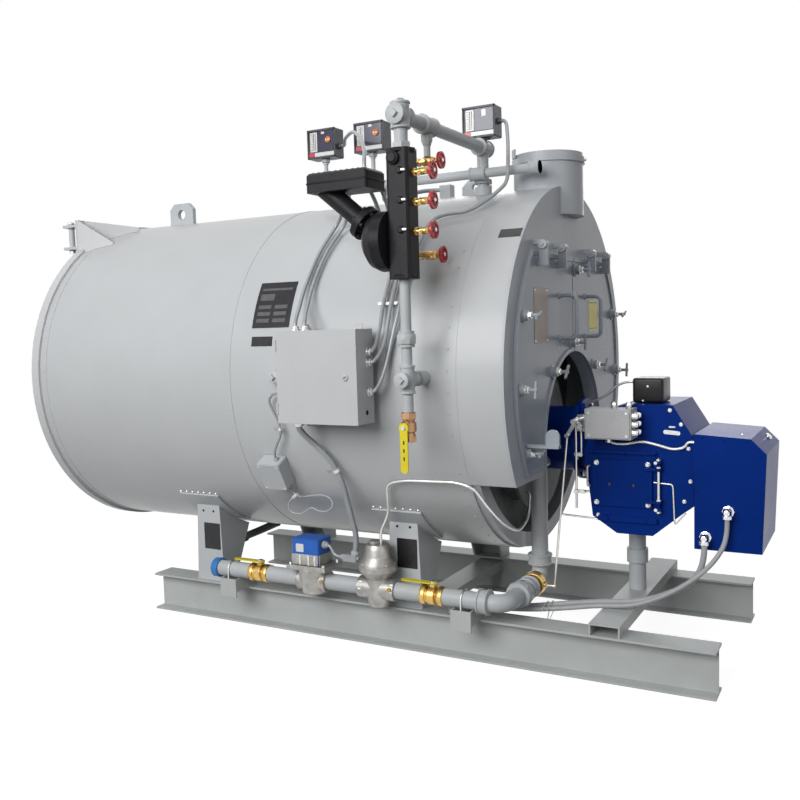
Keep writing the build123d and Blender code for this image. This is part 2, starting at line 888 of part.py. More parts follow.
# Front doors: two flanged half plates hung from pins along their top edge
def half_door(x, side, inset):
    big = 2 * shell_radius
    with BuildSketch(Plane.YZ.offset(x)) as face:
        with Locations((axis_y, axis_z)):
            Circle(door_radius - inset)
        with Locations((axis_y, door_bottom_z + inset - big / 2), (axis_y, door_top_z - inset + big / 2)):
            Rectangle(2 * big, big, mode=Mode.SUBTRACT)
        with Locations((axis_y, furnace_z)):
            Circle(arch_radius + inset, mode=Mode.SUBTRACT)
        with Locations((axis_y, furnace_z - big / 2)):
            Rectangle(2 * (arch_radius + inset), big, mode=Mode.SUBTRACT)
        with Locations((axis_y - side * (big - door_split_gap) / 2, axis_z)):
            Rectangle(big, 2 * big, mode=Mode.SUBTRACT)
    return face.sketch


def door_part(side):
    with BuildPart() as door:
        extrude(half_door(door_back_x, side, 0), amount=door_thickness + door_rim_height)
        extrude(half_door(door_face_x, side, arch_rim), amount=door_rim_height, mode=Mode.SUBTRACT)
    return door.part


# Door strap: eye on the hinge pin, flat bar down and a foot on the door
def strap_part(y_mid):
    foot_z = hinge_z - hinge_strap_drop + hinge_strap_foot / 2
    with BuildPart() as strap:
        with BuildSketch(Plane.XZ.offset(-y_mid)):
            with Locations((hinge_x, hinge_z)):
                Circle(hinge_eye_radius)
            with Locations((hinge_x, hinge_z - hinge_strap_drop / 2)):
                Rectangle(2 * hinge_eye_radius, hinge_strap_drop)
            with Locations(((door_face_x + hinge_x) / 2, foot_z)):
                Rectangle(hinge_x - door_face_x, hinge_strap_foot)
            with Locations((hinge_x, hinge_z)):
                Circle(hinge_pin_radius + hinge_pin_clearance, mode=Mode.SUBTRACT)
        extrude(amount=hinge_strap_thickness / 2, both=True)
    return strap.part


# Hinge brackets welded to the front plate: a pair of ears and a pin for each strap
def hinge_bracket(y_mid):
    inner = hinge_strap_thickness / 2 + hinge_ear_gap
    ears = []
    for y0 in (y_mid - inner - hinge_ear_thickness, y_mid + inner):
        with BuildPart() as ear:
            with BuildSketch(Plane.XZ.offset(-y0)):
                with Locations((hinge_x, hinge_z)):
                    Circle(hinge_eye_radius)
                with Locations(((front_face_x + hinge_x) / 2, hinge_z + hinge_eye_radius / 2)):
                    Rectangle(hinge_x - front_face_x, hinge_eye_radius)
            extrude(amount=-hinge_ear_thickness)
        ears.append(ear.part)
    reach = inner + hinge_ear_thickness + hinge_pin_end
    pin = rod_part((hinge_x, y_mid - reach, hinge_z), (hinge_x, y_mid + reach, hinge_z), 2 * hinge_pin_radius)
    return joined(*ears, pin)


hinge_offsets = (hinge_inner_y, hinge_outer_y)
brackets = [hinge_bracket(axis_y + side * y) for side in (-1, 1) for y in hinge_offsets]
save(joined(*brackets), "door_hinge_brackets")


# Door clamp: round block on the door, bolt and T bar turned by an angle
def dog_part(y, z, turn):
    block_end = door_face_x + dog_block_depth
    bolt_end = block_end + dog_bolt_length
    half_y = dog_bar_length / 2 * math.cos(math.radians(turn))
    half_z = dog_bar_length / 2 * math.sin(math.radians(turn))
    bar_x = bolt_end - dog_bolt_radius
    return joined(
        rod_part((door_face_x, y, z), (block_end, y, z), dog_block),
        rod_part((block_end, y, z), (bolt_end, y, z), 2 * dog_bolt_radius),
        rod_part((bar_x, y - half_y, z - half_z), (bar_x, y + half_y, z + half_z), 1.6 * dog_bolt_radius),
    )


# Shelf on the left door: flat bar with a rounded lug standing on its outer end
def shelf_part():
    y = axis_y - shelf_off_axis
    end_x = door_face_x + shelf_reach
    lug_x = end_x - shelf_lug_width / 2
    bar = box_part(
        door_face_x, end_x, y - shelf_width / 2, y + shelf_width / 2, shelf_z - shelf_thickness, shelf_z
    )
    with BuildPart() as lug:
        with BuildSketch(Plane.XZ.offset(-y)):
            with Locations((lug_x, shelf_z + shelf_lug_height - shelf_lug_width / 2)):
                Circle(shelf_lug_width / 2)
            with Locations((lug_x, shelf_z + (shelf_lug_height - shelf_lug_width / 2) / 2)):
                Rectangle(shelf_lug_width, shelf_lug_height - shelf_lug_width / 2)
        extrude(amount=shelf_thickness / 2, both=True)
    return joined(bar, lug.part)


split_dog_y = door_split_gap / 2 + dog_block_gap + dog_block / 2
handle_x = door_face_x + handle_reach
for side, name in ((-1, "left"), (1, "right")):
    pieces = [door_part(side)]
    pieces += [strap_part(axis_y + side * y) for y in hinge_offsets]
    for angle, turn in ((21.4, 20), (-3.2, 80), (-25.6, 10)):
        y = axis_y + side * dog_edge_radius * math.cos(math.radians(angle))
        z = axis_z + dog_edge_radius * math.sin(math.radians(angle))
        pieces.append(dog_part(y, z, turn))
    y = axis_y + side * dog_arch_radius * math.cos(math.radians(dog_arch_angle))
    z = furnace_z + dog_arch_radius * math.sin(math.radians(dog_arch_angle))
    pieces.append(dog_part(y, z, dog_arch_angle))
    if side < 0:
        pieces.append(dog_part(axis_y - split_dog_y, furnace_z + dog_arch_radius, 90))
        pieces.append(shelf_part())
    else:
        pieces.append(dog_part(axis_y + split_dog_y, door_top_z - dog_top_drop, 90))
    handle_y = axis_y + side * handle_off_axis
    handle_points = [
        (door_face_x, handle_y, handle_low_z),
        (handle_x, handle_y, handle_low_z),
        (handle_x, handle_y, handle_low_z + handle_height),
        (door_face_x, handle_y, handle_low_z + handle_height),
    ]
    pieces.append(bent_part(handle_points, 2 * handle_rod_radius, handle_bend))
    save(joined(*pieces), f"{name}_front_door")


# Lifting lugs on the crown of the shell, and the block that holds the crown conduit
def lug_part(x, width, height, hole_radius, hole_rise):
    crown_z = axis_z + shell_radius
    with BuildPart() as lug:
        with BuildSketch(Plane.XZ.offset(-axis_y)):
            with Locations((x, crown_z + height / 2)):
                Rectangle(width, height)
            chamfer(vertices().group_by(Axis.Y)[-1], lug_corner)
            with Locations((x, crown_z + hole_rise)):
                Circle(hole_radius, mode=Mode.SUBTRACT)
        extrude(amount=lug_thickness / 2, both=True)
    return lug.part


crown_z = axis_z + shell_radius
crown_x = skid_rear_x + crown_bracket_from_rear
lugs = joined(
    lug_part(
        skid_rear_x + rear_lug_from_rear,
        rear_lug_width,
        rear_lug_height,
        rear_lug_hole_radius,
        rear_lug_hole_rise,
    ),
    lug_part(
        skid_rear_x + front_lug_from_rear,
        front_lug_width,
        front_lug_height,
        front_lug_hole_radius,
        front_lug_hole_rise,
    ),
    box_part(
        crown_x - crown_bracket_width / 2,
        crown_x + crown_bracket_width / 2,
        axis_y - lug_thickness,
        axis_y + lug_thickness,
        crown_z - lug_thickness / 2,
        crown_z + crown_bracket_height,
    ),
)
save(cleared_of_shell(lugs), "lifting_lugs")

# Control panel: folded box open to the front, with its door hinged on the left edge
with BuildPart() as panel_box:
    add(box_part(panel_x0, panel_x1, panel_front_y, panel_back_y, panel_low_z, panel_top_z))
    offset(amount=-panel_sheet, openings=panel_box.faces().sort_by(Axis.Y)[0])
save(panel_box.part, "control_panel_box")
panel_hinge_x = panel_x0 - panel_hinge_radius - panel_door_gap
panel_face_y = panel_front_y - panel_door_gap - panel_door_thickness
panel_hinge_y = panel_face_y + panel_door_thickness / 2
panel_door = box_part(
    panel_hinge_x,
    panel_x1 + panel_door_gap,
    panel_face_y,
    panel_face_y + panel_door_thickness,
    panel_low_z - panel_door_gap,
    panel_top_z + panel_door_gap,
)
knuckles = []
for z in (panel_low_z + panel_knuckle_inset, panel_top_z - panel_knuckle_inset - panel_knuckle_length):
    top = (panel_hinge_x, panel_hinge_y, z + panel_knuckle_length)
    knuckles.append(rod_part((panel_hinge_x, panel_hinge_y, z), top, 2 * panel_hinge_radius))
latch = turned_part(
    (panel_x1 - panel_latch_inset, panel_face_y, (panel_low_z + panel_top_z) / 2),
    (0, -1, 0),
    [(0, 11), (3, 11), (5, 8)],
)
save(joined(panel_door, *knuckles, latch), "control_panel_door")

# Shell fittings: the panel's standoffs and a plugged coupling beside it
standoffs = []
for z in (panel_low_z + panel_standoff_inset, panel_top_z - panel_standoff_inset):
    for x in (panel_x0 + panel_standoff_inset, panel_x1 - panel_standoff_inset):
        standoffs.append(rod_part((x, panel_back_y, z), (x, axis_y, z), panel_standoff_diameter))
plug_x = panel_x0 - shell_plug_from_panel
plug_z = axis_z + shell_plug_rise
plug_end_y = axis_y - shell_radius - shell_plug_length
shell_plug = rod_part((plug_x, plug_end_y, plug_z), (plug_x, axis_y, plug_z), shell_plug_diameter)
save(cleared_of_shell(joined(shell_plug, *standoffs)), "shell_fittings")

# Sensor junction box, tangent to the shell below the panel's level
sensor_turn = math.radians(sensor_box_angle)
sensor_out = Vector(0, -math.cos(sensor_turn), -math.sin(sensor_turn))
sensor_base = Vector(
    skid_rear_x + sensor_box_from_rear, axis_y, axis_z
) + sensor_out * (shell_radius + paint_gap)
with BuildPart() as sensor_box:
    with BuildSketch(Plane(origin=sensor_base, x_dir=(1, 0, 0), z_dir=sensor_out)):
        RectangleRounded(sensor_box_width, sensor_box_height, sensor_box_corner)
    extrude(amount=sensor_box_depth)
save(sensor_box.part, "sensor_junction_box")

# Water column: square iron casting with a plug in its near face
with BuildPart() as column:
    with BuildSketch(Plane.XY.offset(column_low_z)):
        with Locations((column_x, column_y)):
            RectangleRounded(column_width, column_width, column_corner)
    extrude(amount=column_high_z - column_low_z)
column_plug = turned_part(
    (column_x - column_plug_shift, column_y - column_width / 2, column_high_z - column_plug_drop),
    (0, -1, 0),
    [(0, 20), (10, 20), (12, 15), (16, 13)],
)
save(joined(column.part, column_plug), "water_column")

# Float chamber: round bowl on the column's side, with a flanged slanting neck
bowl_x = column_x - column_width / 2 - paint_gap
bowl = turned_part(
    (bowl_x, column_y, float_centre_z),
    (-1, 0, 0),
    [
        (0, float_radius),
        (float_depth * 0.4, float_radius),
        (float_depth * 0.7, float_radius * 0.87),
        (float_depth * 0.92, float_radius * 0.6),
        (float_depth, float_radius * 0.27),
    ],
)
neck_turn = math.radians(neck_slope)
neck_axis = Vector(-math.cos(neck_turn), 0, math.sin(neck_turn))
neck_flange_centre = Vector(skid_rear_x + neck_flange_from_rear, column_y, neck_flange_z)
neck_rise = (head_low_z - neck_flange_z) / math.sin(neck_turn)
neck_start = neck_flange_centre - neck_axis * neck_sink
neck_end = neck_flange_centre + neck_axis * (neck_rise + neck_diameter)
neck_flange_start = neck_flange_centre - neck_axis * neck_flange_half
head_x = skid_rear_x + head_from_rear
with BuildPart() as float_chamber:
    add(
        [
            bowl,
            rod_part(tuple(neck_start), tuple(neck_end), neck_diameter),
            rod_part(
                tuple(neck_flange_start),
                tuple(neck_flange_start + neck_axis * 2 * neck_flange_half),
                2 * neck_flange_radius,
            ),
        ]
    )
    above = box_part(
        head_x - head_box_length,
        head_x + head_box_length,
        column_y - head_box_depth,
        column_y + head_box_depth,
        head_low_z,
        head_high_z + head_box_depth,
    )
    add(above, mode=Mode.SUBTRACT)
save(float_chamber.part, "float_chamber")

# Switch head of the low-water cut-off, on the neck
with BuildPart() as head:
    with BuildSketch(Plane.XY.offset(head_low_z + paint_gap)):
        with Locations((head_x, column_y)):
            RectangleRounded(head_box_length, head_box_depth, head_corner)
    extrude(amount=head_high_z - head_low_z - paint_gap)
    chamfer(head.faces().sort_by(Axis.Z)[-1].edges(), head_top_bevel)
save(head.part, "float_switch_head")

# Steam piping: cross on the column, equalizing pipe, riser into the shell and the manifold of the controls
riser_y = axis_y - riser_off_axis
riser_foot_z = axis_z + math.sqrt(shell_radius**2 - riser_off_axis**2)
pipe = pipe_one_and_quarter
pipe_fitting = pipe * fitting_swell
small = pipe_one_inch
small_fitting = small * fitting_swell
gauge_y = axis_y - gauge_off_axis
drop_foot_z = gauge_high_z + cock_radius * gauge_body_share + paint_gap
manifold_x0 = skid_rear_x + manifold_rear_from_rear
manifold_x1 = skid_rear_x + manifold_front_from_rear
manifold_y = riser_y - pipe / 2 - small * manifold_offset_share
control_xs = (manifold_x0, skid_rear_x + control_two_from_rear)
control_foot_z = control_z - control_height / 2
steam_runs = [
    rod_part(
        (column_x, column_y, column_high_z + paint_gap), (column_x, column_y, cross_z + cross_reach), pipe
    ),
    rod_part(
        (column_x, column_y, cross_z - cross_reach), (column_x, column_y, cross_z + cross_reach), pipe_fitting
    ),
    rod_part(
        (column_x, column_y - cross_reach, cross_z),
        (column_x, column_y + cross_reach, cross_z),
        pipe_fitting,
    ),
    rod_part((column_x, column_y, cross_z), (column_x, riser_y, cross_z), pipe),
    rod_part(
        (column_x, gauge_y - cross_reach, cross_z), (column_x, gauge_y + cross_reach, cross_z), pipe_fitting
    ),
    rod_part((column_x, gauge_y, cross_z), (column_x, gauge_y, drop_foot_z), gauge_stem_diameter),
    rod_part(
        (column_x, riser_y - cross_reach, cross_z), (column_x, riser_y + cross_reach, cross_z), pipe_fitting
    ),
    rod_part((column_x, riser_y, riser_foot_z - pipe), (column_x, riser_y, cross_z), pipe),
    rod_part(
        (column_x, riser_y, riser_foot_z - pipe), (
            column_x, riser_y, riser_foot_z + riser_foot_height
        ), pipe * 1.5
    ),
    rod_part((manifold_x0, manifold_y, manifold_z), (manifold_x1, manifold_y, manifold_z), small),
    rod_part(
        (manifold_x1 - cross_reach, manifold_y, manifold_z),
        (manifold_x1, manifold_y, manifold_z),
        small_fitting,
    ),
    rod_part((column_x, manifold_y, manifold_z), (column_x, riser_y, manifold_z), small),
]
for x in (*control_xs, column_x):
    half = small_fitting * 0.6
    steam_runs.append(
        rod_part((x - half, manifold_y, manifold_z), (x + half, manifold_y, manifold_z), small_fitting)
    )
for x in control_xs:
    stem_top = (x, manifold_y, control_foot_z - paint_gap)
    steam_runs.append(rod_part((x, manifold_y, manifold_z), stem_top, control_stem_diameter))
save(cleared_of_shell(joined(*steam_runs)), "steam_piping")


# Pressure controls: small glazed boxes on stems
def control_part(x, y, z):
    with BuildPart() as case:
        with BuildSketch(Plane.XZ.offset(-y)):
            with Locations((x, z)):
                RectangleRounded(control_width, control_height, control_corner)
        extrude(amount=control_depth / 2, both=True)
    return case.part


third_z = control_z + control_three_rise
third_stem = rod_part(
    (column_x, riser_y, cross_z + pipe_fitting / 2 + paint_gap),
    (column_x, riser_y, third_z - control_height / 2),
    gauge_stem_diameter,
)
save(
    joined(
        *[control_part(x, manifold_y, control_z) for x in control_xs],
        control_part(column_x, riser_y, third_z),
        third_stem,
    ),
    "pressure_controls",
)

# Lower water connection: pipe down from the column with a union and a tee into the shell
blowdown_top_z = blowdown_z + blowdown_length / 2 + paint_gap
union_z = drain_tee_z + union_rise
tee_y_end = axis_y - shell_radius - paint_gap
lower_fitting = small * fitting_swell
lower_runs = [
    rod_part((column_x, column_y, column_low_z - paint_gap), (column_x, column_y, blowdown_top_z), small),
    rod_part((column_x, column_y, union_z), (column_x, column_y, union_z + union_height), small * 1.5),
    rod_part(
        (column_x, column_y, drain_tee_z - drain_tee_reach),
        (column_x, column_y, drain_tee_z + drain_tee_reach),
        lower_fitting,
    ),
    rod_part((column_x, column_y - drain_tee_reach, drain_tee_z), (column_x, tee_y_end, drain_tee_z), small),
    rod_part(
        (column_x, column_y - drain_tee_reach, drain_tee_z),
        (column_x, column_y + drain_tee_reach, drain_tee_z),
        lower_fitting,
    ),
    rod_part(
        (column_x, tee_y_end - drain_tee_reach, drain_tee_z), (column_x, axis_y, drain_tee_z), lower_fitting
    ),
]
save(cleared_of_shell(joined(*lower_runs)), "lower_water_pipe")


# Ball valve: turned body with end hexagons and a stem; its lever is a flat bar on the stem
def valve_part(centre, direction, length, radius, stem_direction):
    start = Vector(*centre) - Vector(*direction) * (length / 2)
    profile = [
        (0, radius * 0.86),
        (length * 0.24, radius * 0.86),
        (length * 0.3, radius * 0.74),
        (length * 0.36, radius),
        (length * 0.64, radius),
        (length * 0.7, radius * 0.74),
        (length * 0.76, radius * 0.86),
        (length, radius * 0.86),
    ]
    stem_top = Vector(*centre) + Vector(*stem_direction) * (radius + lever_off_body + 2 * lever_thickness)
    return joined(
        turned_part(tuple(start), direction, profile), rod_part(centre, tuple(stem_top), radius / 2)
    )


def lever_part(centre, body_radius, stem_direction, reach_direction, length):
    base = Vector(*centre) + Vector(*stem_direction) * (body_radius + lever_off_body)
    with BuildPart() as lever:
        with BuildSketch(Plane(origin=base, x_dir=reach_direction, z_dir=stem_direction)):
            Circle(lever_width * 0.62)
            with Locations((length / 2, 0)):
                Rectangle(length, lever_width)
            with Locations((length, 0)):
                Circle(lever_width / 2)
            Circle(body_radius / 4 + stem_clear, mode=Mode.SUBTRACT)
        extrude(amount=lever_thickness)
    return lever.part


blow_centre = (column_x, column_y, blowdown_z)
save(valve_part(blow_centre, (0, 0, 1), blowdown_length, blowdown_radius, (0, -1, 0)), "blowdown_valve")
save(
    lever_part(blow_centre, blowdown_radius, (0, -1, 0), (0, 0, -1), blowdown_lever_length),
    "blowdown_lever",
)


# Handwheel: rim, hub and four crossed spokes round the stem
def wheel_part(centre):
    plane = Plane(origin=centre, z_dir=(1, 0, 0))
    with BuildPart() as wheel:
        with BuildSketch(plane):
            Circle(wheel_radius)
            Circle(wheel_radius - wheel_rim_width, mode=Mode.SUBTRACT)
        extrude(amount=wheel_rim_thickness / 2, both=True)
        with BuildSketch(plane):
            Circle(wheel_hub)
            for angle in range(0, 180, 45):
                with Locations(Location((0, 0), angle)):
                    Rectangle(2 * wheel_radius - wheel_rim_width, wheel_spoke_width)
        extrude(amount=wheel_spoke_width / 2, both=True)
        with BuildSketch(plane):
            Circle(wheel_stem_radius + stem_clear)
        extrude(amount=wheel_rim_thickness, both=True, mode=Mode.SUBTRACT)
    return wheel.part


# Try cocks on the column and gauge valves beside it: brass bodies, nozzles and wheel stems
cock_bodies = []
for index in range(3):
    z = try_cock_z_low + index * try_cock_pitch
    start_x = column_x + column_width / 2 + paint_gap
    wheel_x = start_x + cock_length
    nozzle_x = start_x + cock_length * 0.45
    steps = [(0, 0.8), (0.3, 0.8), (0.33, 1), (0.64, 1), (0.67, 0.55), (0.88, 0.55)]
    profile = [(cock_length * along_share, cock_radius * share) for along_share, share in steps]
    cock_bodies.append(turned_part((start_x, column_y, z), (1, 0, 0), profile))
    nozzle_end = (nozzle_x, column_y - 2 * cock_radius, z - cock_radius)
    cock_bodies.append(rod_part((nozzle_x, column_y, z), nozzle_end, cock_nozzle_diameter))
    stem_end = (wheel_x + wheel_rim_thickness, column_y, z)
    cock_bodies.append(rod_part((nozzle_x, column_y, z), stem_end, 2 * wheel_stem_radius))
    save(wheel_part((wheel_x, column_y, z)), f"try_cock_wheel_{index + 1}")
for z, name in ((gauge_low_z, "gauge_wheel_low"), (gauge_high_z, "gauge_wheel_high")):
    start_x = column_x - gauge_body_back
    wheel_x = start_x + gauge_body_length
    steps = [(0, 1), (0.24, 1), (0.26, gauge_body_share), (0.6, gauge_body_share), (0.62, 0.6), (0.9, 0.6)]
    profile = [(gauge_body_length * along_share, cock_radius * share) for along_share, share in steps]
    cock_bodies.append(turned_part((start_x, gauge_y, z), (1, 0, 0), profile))
    stem_end = (wheel_x + wheel_rim_thickness, gauge_y, z)
    cock_bodies.append(rod_part((column_x, gauge_y, z), stem_end, 2 * wheel_stem_radius))
    save(wheel_part((wheel_x, gauge_y, z)), name)
nipple_y = column_y + column_width / 2 + paint_gap
nipple = rod_part((column_x, nipple_y, gauge_low_z), (column_x, gauge_y, gauge_low_z), gauge_nipple_diameter)
save(joined(nipple, *cock_bodies), "water_trim_valves")

# Gas train along the near beam: pipe spans between cocks, safety valve and regulator
gas_cap_x = skid_rear_x + gas_rear_from_rear
cock_one_x = skid_rear_x + gas_cock_one_from_rear
cock_two_x = skid_rear_x + gas_cock_two_from_rear
valve_x = skid_rear_x + gas_valve_from_rear
regulator_x = skid_rear_x + gas_regulator_from_rear
elbow_x = skid_rear_x + gas_elbow_from_rear
pipe = pipe_two_inch
pipe_fitting = pipe * fitting_swell
stations = [
    (cock_one_x, gas_cock_length / 2),
    (valve_x, gas_valve_half),
    (regulator_x, gas_regulator_half),
    (cock_two_x, gas_cock_length / 2),
]
gas_runs = []
run_start = gas_cap_x
for x, half in stations:
    gas_runs.append(rod_part((run_start, gas_y, gas_z), (x - half - paint_gap, gas_y, gas_z), pipe))
    run_start = x + half + paint_gap
gas_cap = turned_part(
    (gas_cap_x + gas_cap_length / 3, gas_y, gas_z),
    (-1, 0, 0),
    [(0, gas_cap_radius), (gas_cap_length * 0.8, gas_cap_radius), (gas_cap_length, gas_cap_radius * 0.85)],
)
save(joined(gas_cap, *gas_runs), "gas_pipe")

# Riser end of the gas train: bend under the smokebox, unions, butterfly valve and the burner's inlet
gas_riser_y = axis_y - gas_riser_off_axis
riser_points = [
    (run_start, gas_y, gas_z),
    (elbow_x, gas_y, gas_z),
    (elbow_x, gas_riser_y, gas_z),
    (elbow_x, gas_riser_y, gas_riser_top_z),
]
inlet_z = gas_riser_top_z - pipe / 2
inlet_reach = math.sqrt(blast_tube_radius**2 - (furnace_z - inlet_z) ** 2)
riser_fittings = [
    rod_part(
        (elbow_x, gas_riser_y, inlet_z),
        (elbow_x, axis_y - inlet_reach / 2, inlet_z),
        pipe * gas_inlet_share,
    ),
    rod_part((elbow_x - 3 * pipe / 2, gas_y, gas_z), (elbow_x - pipe, gas_y, gas_z), pipe_fitting),
    rod_part(
        (elbow_x, gas_riser_y, gas_z + pipe), (elbow_x, gas_riser_y, gas_z + 3 * pipe / 2), pipe_fitting
    ),
]
for ends, share in ((gas_union_off_axis, 1.45), (gas_coupling_off_axis, 1.25)):
    riser_fittings.append(
        rod_part((elbow_x, axis_y - ends[0], gas_z), (elbow_x, axis_y - ends[1], gas_z), pipe * share)
    )
butterfly_y = axis_y - butterfly_off_axis
riser_fittings.append(
    rod_part(
        (
            elbow_x, butterfly_y - butterfly_half, gas_z
        ), (elbow_x, butterfly_y + butterfly_half, gas_z), 2 * butterfly_radius
    )
)
with BuildPart() as gas_riser:
    add([bent_part(riser_points, pipe, gas_bend), *riser_fittings])
    with BuildSketch(Plane.YZ.offset(elbow_x - pipe)):
        with Locations((axis_y, furnace_z)):
            Circle(blast_tube_radius + paint_gap)
    extrude(amount=2 * pipe, mode=Mode.SUBTRACT)
save(gas_riser.part, "gas_riser_pipe")
for x, number in ((cock_one_x, 1), (cock_two_x, 2)):
    centre = (x, gas_y, gas_z)
    save(valve_part(centre, (1, 0, 0), gas_cock_length, gas_cock_radius, (0, 0, 1)), f"gas_cock_{number}")
    save(lever_part(centre, gas_cock_radius, (0, 0, 1), (-1, 0, 0), gas_lever_length), f"gas_lever_{number}")

# Gas safety valve: cast bowl with a flanged top plate, and the actuator standing on it
valve_bowl = turned_part(
    (valve_x, gas_y, gas_z - gas_valve_drop),
    (0, 0, 1),
    [
        (0, 0.6 * gas_valve_half),
        (8, 0.78 * gas_valve_half),
        (18, 0.78 * gas_valve_half),
        (valve_flange_low_z - gas_z + gas_valve_drop, gas_valve_half),
    ],
)
valve_ports = rod_part(
    (valve_x - gas_valve_half, gas_y, gas_z), (valve_x + gas_valve_half, gas_y, gas_z), pipe_fitting
)
valve_flange = box_part(
    valve_x - valve_flange_width / 2,
    valve_x + valve_flange_width / 2,
    gas_y - valve_flange_depth / 2,
    gas_y + valve_flange_depth / 2,
    valve_flange_low_z,
    valve_flange_high_z,
)
save(joined(valve_bowl, valve_ports, valve_flange), "gas_safety_valve")
actuator_x = valve_x + actuator_shift
with BuildPart() as actuator:
    with BuildSketch(Plane.XY.offset(valve_flange_high_z + paint_gap)):
        with Locations((actuator_x, gas_y)):
            RectangleRounded(actuator_width, actuator_depth, actuator_corner)
    extrude(amount=actuator_high_z - valve_flange_high_z - paint_gap)
save(actuator.part, "gas_valve_actuator")

# Gas pressure regulator: diaphragm case between two rims, spring housing above
regulator_body = turned_part(
    (regulator_x, gas_y, 0),
    (0, 0, 1),
    [
        (170, 34),
        (190, 42),
        (270, 42),
        (295, regulator_rim_radius - 4),
        (300, regulator_rim_radius),
        (320, regulator_rim_radius),
        (325, regulator_rim_radius - 4),
        (350, 50),
        (380, 45),
        (regulator_top_z, 40),
    ],
)
regulator_ports = rod_part(
    (
        regulator_x - gas_regulator_half, gas_y, gas_z
    ), (regulator_x + gas_regulator_half, gas_y, gas_z), pipe * 1.3
)
save(joined(regulator_body, regulator_ports), "gas_regulator")

# Burner blast tube with its mounting flange, from the furnace mouth into the housing
blast_start = collar_x + paint_gap
housing_rear_x = skid_rear_x + housing_rear_from_rear
blast_flange_x = front_face_x + blast_flange_from_face
save(
    joined(
        rod_part(
            (blast_start, axis_y, furnace_z), (
                housing_rear_x + blast_tube_sink, axis_y, furnace_z
            ), 2 * blast_tube_radius
        ),
        rod_part(
            (blast_flange_x, axis_y, furnace_z),
            (blast_flange_x + blast_flange_thickness, axis_y, furnace_z),
            2 * blast_flange_radius,
        ),
    ),
    "burner_blast_tube",
)

# Burner housing: welded box with sloped corners, a recess behind the hinged cover and two ledges
housing_front_x = skid_rear_x + housing_front_from_rear
housing_outline = [
    (housing_rear_x, 703),
    (housing_rear_x + 9, 663),
    (housing_rear_x + 30, 486),
    (housing_rear_x + 115, housing_low_z),
    (housing_front_x - 138, housing_low_z),
    (housing_front_x - 37, 515),
    (housing_front_x - 4, 540),
    (housing_front_x, 765),
    (housing_front_x - 71, housing_high_z),
    (housing_front_x - 227, housing_high_z),
    (housing_rear_x + 54, 850),
    (housing_rear_x + 14, 760),
]
recess_x0 = skid_rear_x + cover_rear_from_rear + recess_inset
recess_x1 = skid_rear_x + cover_front_from_rear - recess_inset
recess_height = cover_high_z - cover_low_z - 2 * recess_inset
with BuildPart() as housing:
    add(plate_part(housing_outline, burner_near_y, 2 * burner_half_width))
    with BuildSketch(Plane.XZ.offset(-burner_near_y)):
        with Locations(((recess_x0 + recess_x1) / 2, (cover_low_z + cover_high_z) / 2)):
            Rectangle(recess_x1 - recess_x0, recess_height)
    extrude(amount=-recess_depth, mode=Mode.SUBTRACT)
    with BuildSketch(Plane.YZ.offset(housing_rear_x)):
        with Locations((axis_y, furnace_z)):
            Circle(blast_tube_radius + paint_gap)
    extrude(amount=blast_tube_sink + paint_gap, mode=Mode.SUBTRACT)
ledges = [
    box_part(x0, skid_rear_x + cover_hinge_from_rear - 7, burner_near_y - ledge_depth, burner_near_y, z0, z1)
    for x0, z0, z1 in ((housing_rear_x + 14, 710, 719), (housing_rear_x + 52, 473, 490))
]
cover_y1 = burner_near_y - cover_gap
cover_y0 = cover_y1 - cover_thickness
cover_hinge_x = skid_rear_x + cover_hinge_from_rear
cover_hinge_y = cover_y0 - cover_hinge_off
hinge_rod = rod_part(
    (cover_hinge_x, cover_hinge_y, cover_low_z - hinge_rod_end),
    (cover_hinge_x, cover_hinge_y, cover_high_z + hinge_rod_end),
    hinge_rod_diameter,
)
posts = [
    box_part(cover_hinge_x - 9, cover_hinge_x + 9, cover_hinge_y - 8, burner_near_y, z - 4, z + 4)
    for z in (cover_low_z, cover_high_z)
]
save(joined(housing.part, hinge_rod, *ledges, *posts), "burner_housing")

# Hinged access cover with two arms round the hinge rod
cover_front_x = skid_rear_x + cover_front_from_rear
cover_plate = box_part(
    skid_rear_x + cover_rear_from_rear, cover_front_x, cover_y0, cover_y1, cover_low_z, cover_high_z
)
arms = []
for z in (cover_low_z + hinge_arm_inset, cover_high_z - hinge_arm_inset):
    arm_root_x = cover_front_x - 2 * hinge_arm_radius
    with BuildPart() as arm:
        with BuildSketch(Plane.XY.offset(z)):
            with Locations((cover_hinge_x, cover_hinge_y)):
                Circle(hinge_arm_radius)
            with Locations(((cover_hinge_x + arm_root_x) / 2, cover_hinge_y)):
                Rectangle(cover_hinge_x - arm_root_x, 2 * cover_hinge_off)
            with Locations((cover_hinge_x, cover_hinge_y)):
                Circle(hinge_rod_diameter / 2 + stem_clear, mode=Mode.SUBTRACT)
        extrude(amount=hinge_arm_height / 2, both=True)
    arms.append(arm.part)
save(joined(cover_plate, *arms), "burner_access_cover")


# Motor box at the burner's front, with the two elbow fittings of the motor leads on its near face
def elbow_fitting(x, z):
    wall_y = burner_near_y - motor_box_proud
    corner = (x, wall_y - cord_fitting_reach, z)
    foot = (x, wall_y - cord_fitting_reach, z - cord_fitting_drop)
    return joined(
        rod_part(
            (x, wall_y, z),
            (x, wall_y - cord_fitting_reach - cord_fitting_diameter / 2, z),
            cord_fitting_diameter,
        ),
        rod_part(corner, foot, cord_fitting_diameter),
    )


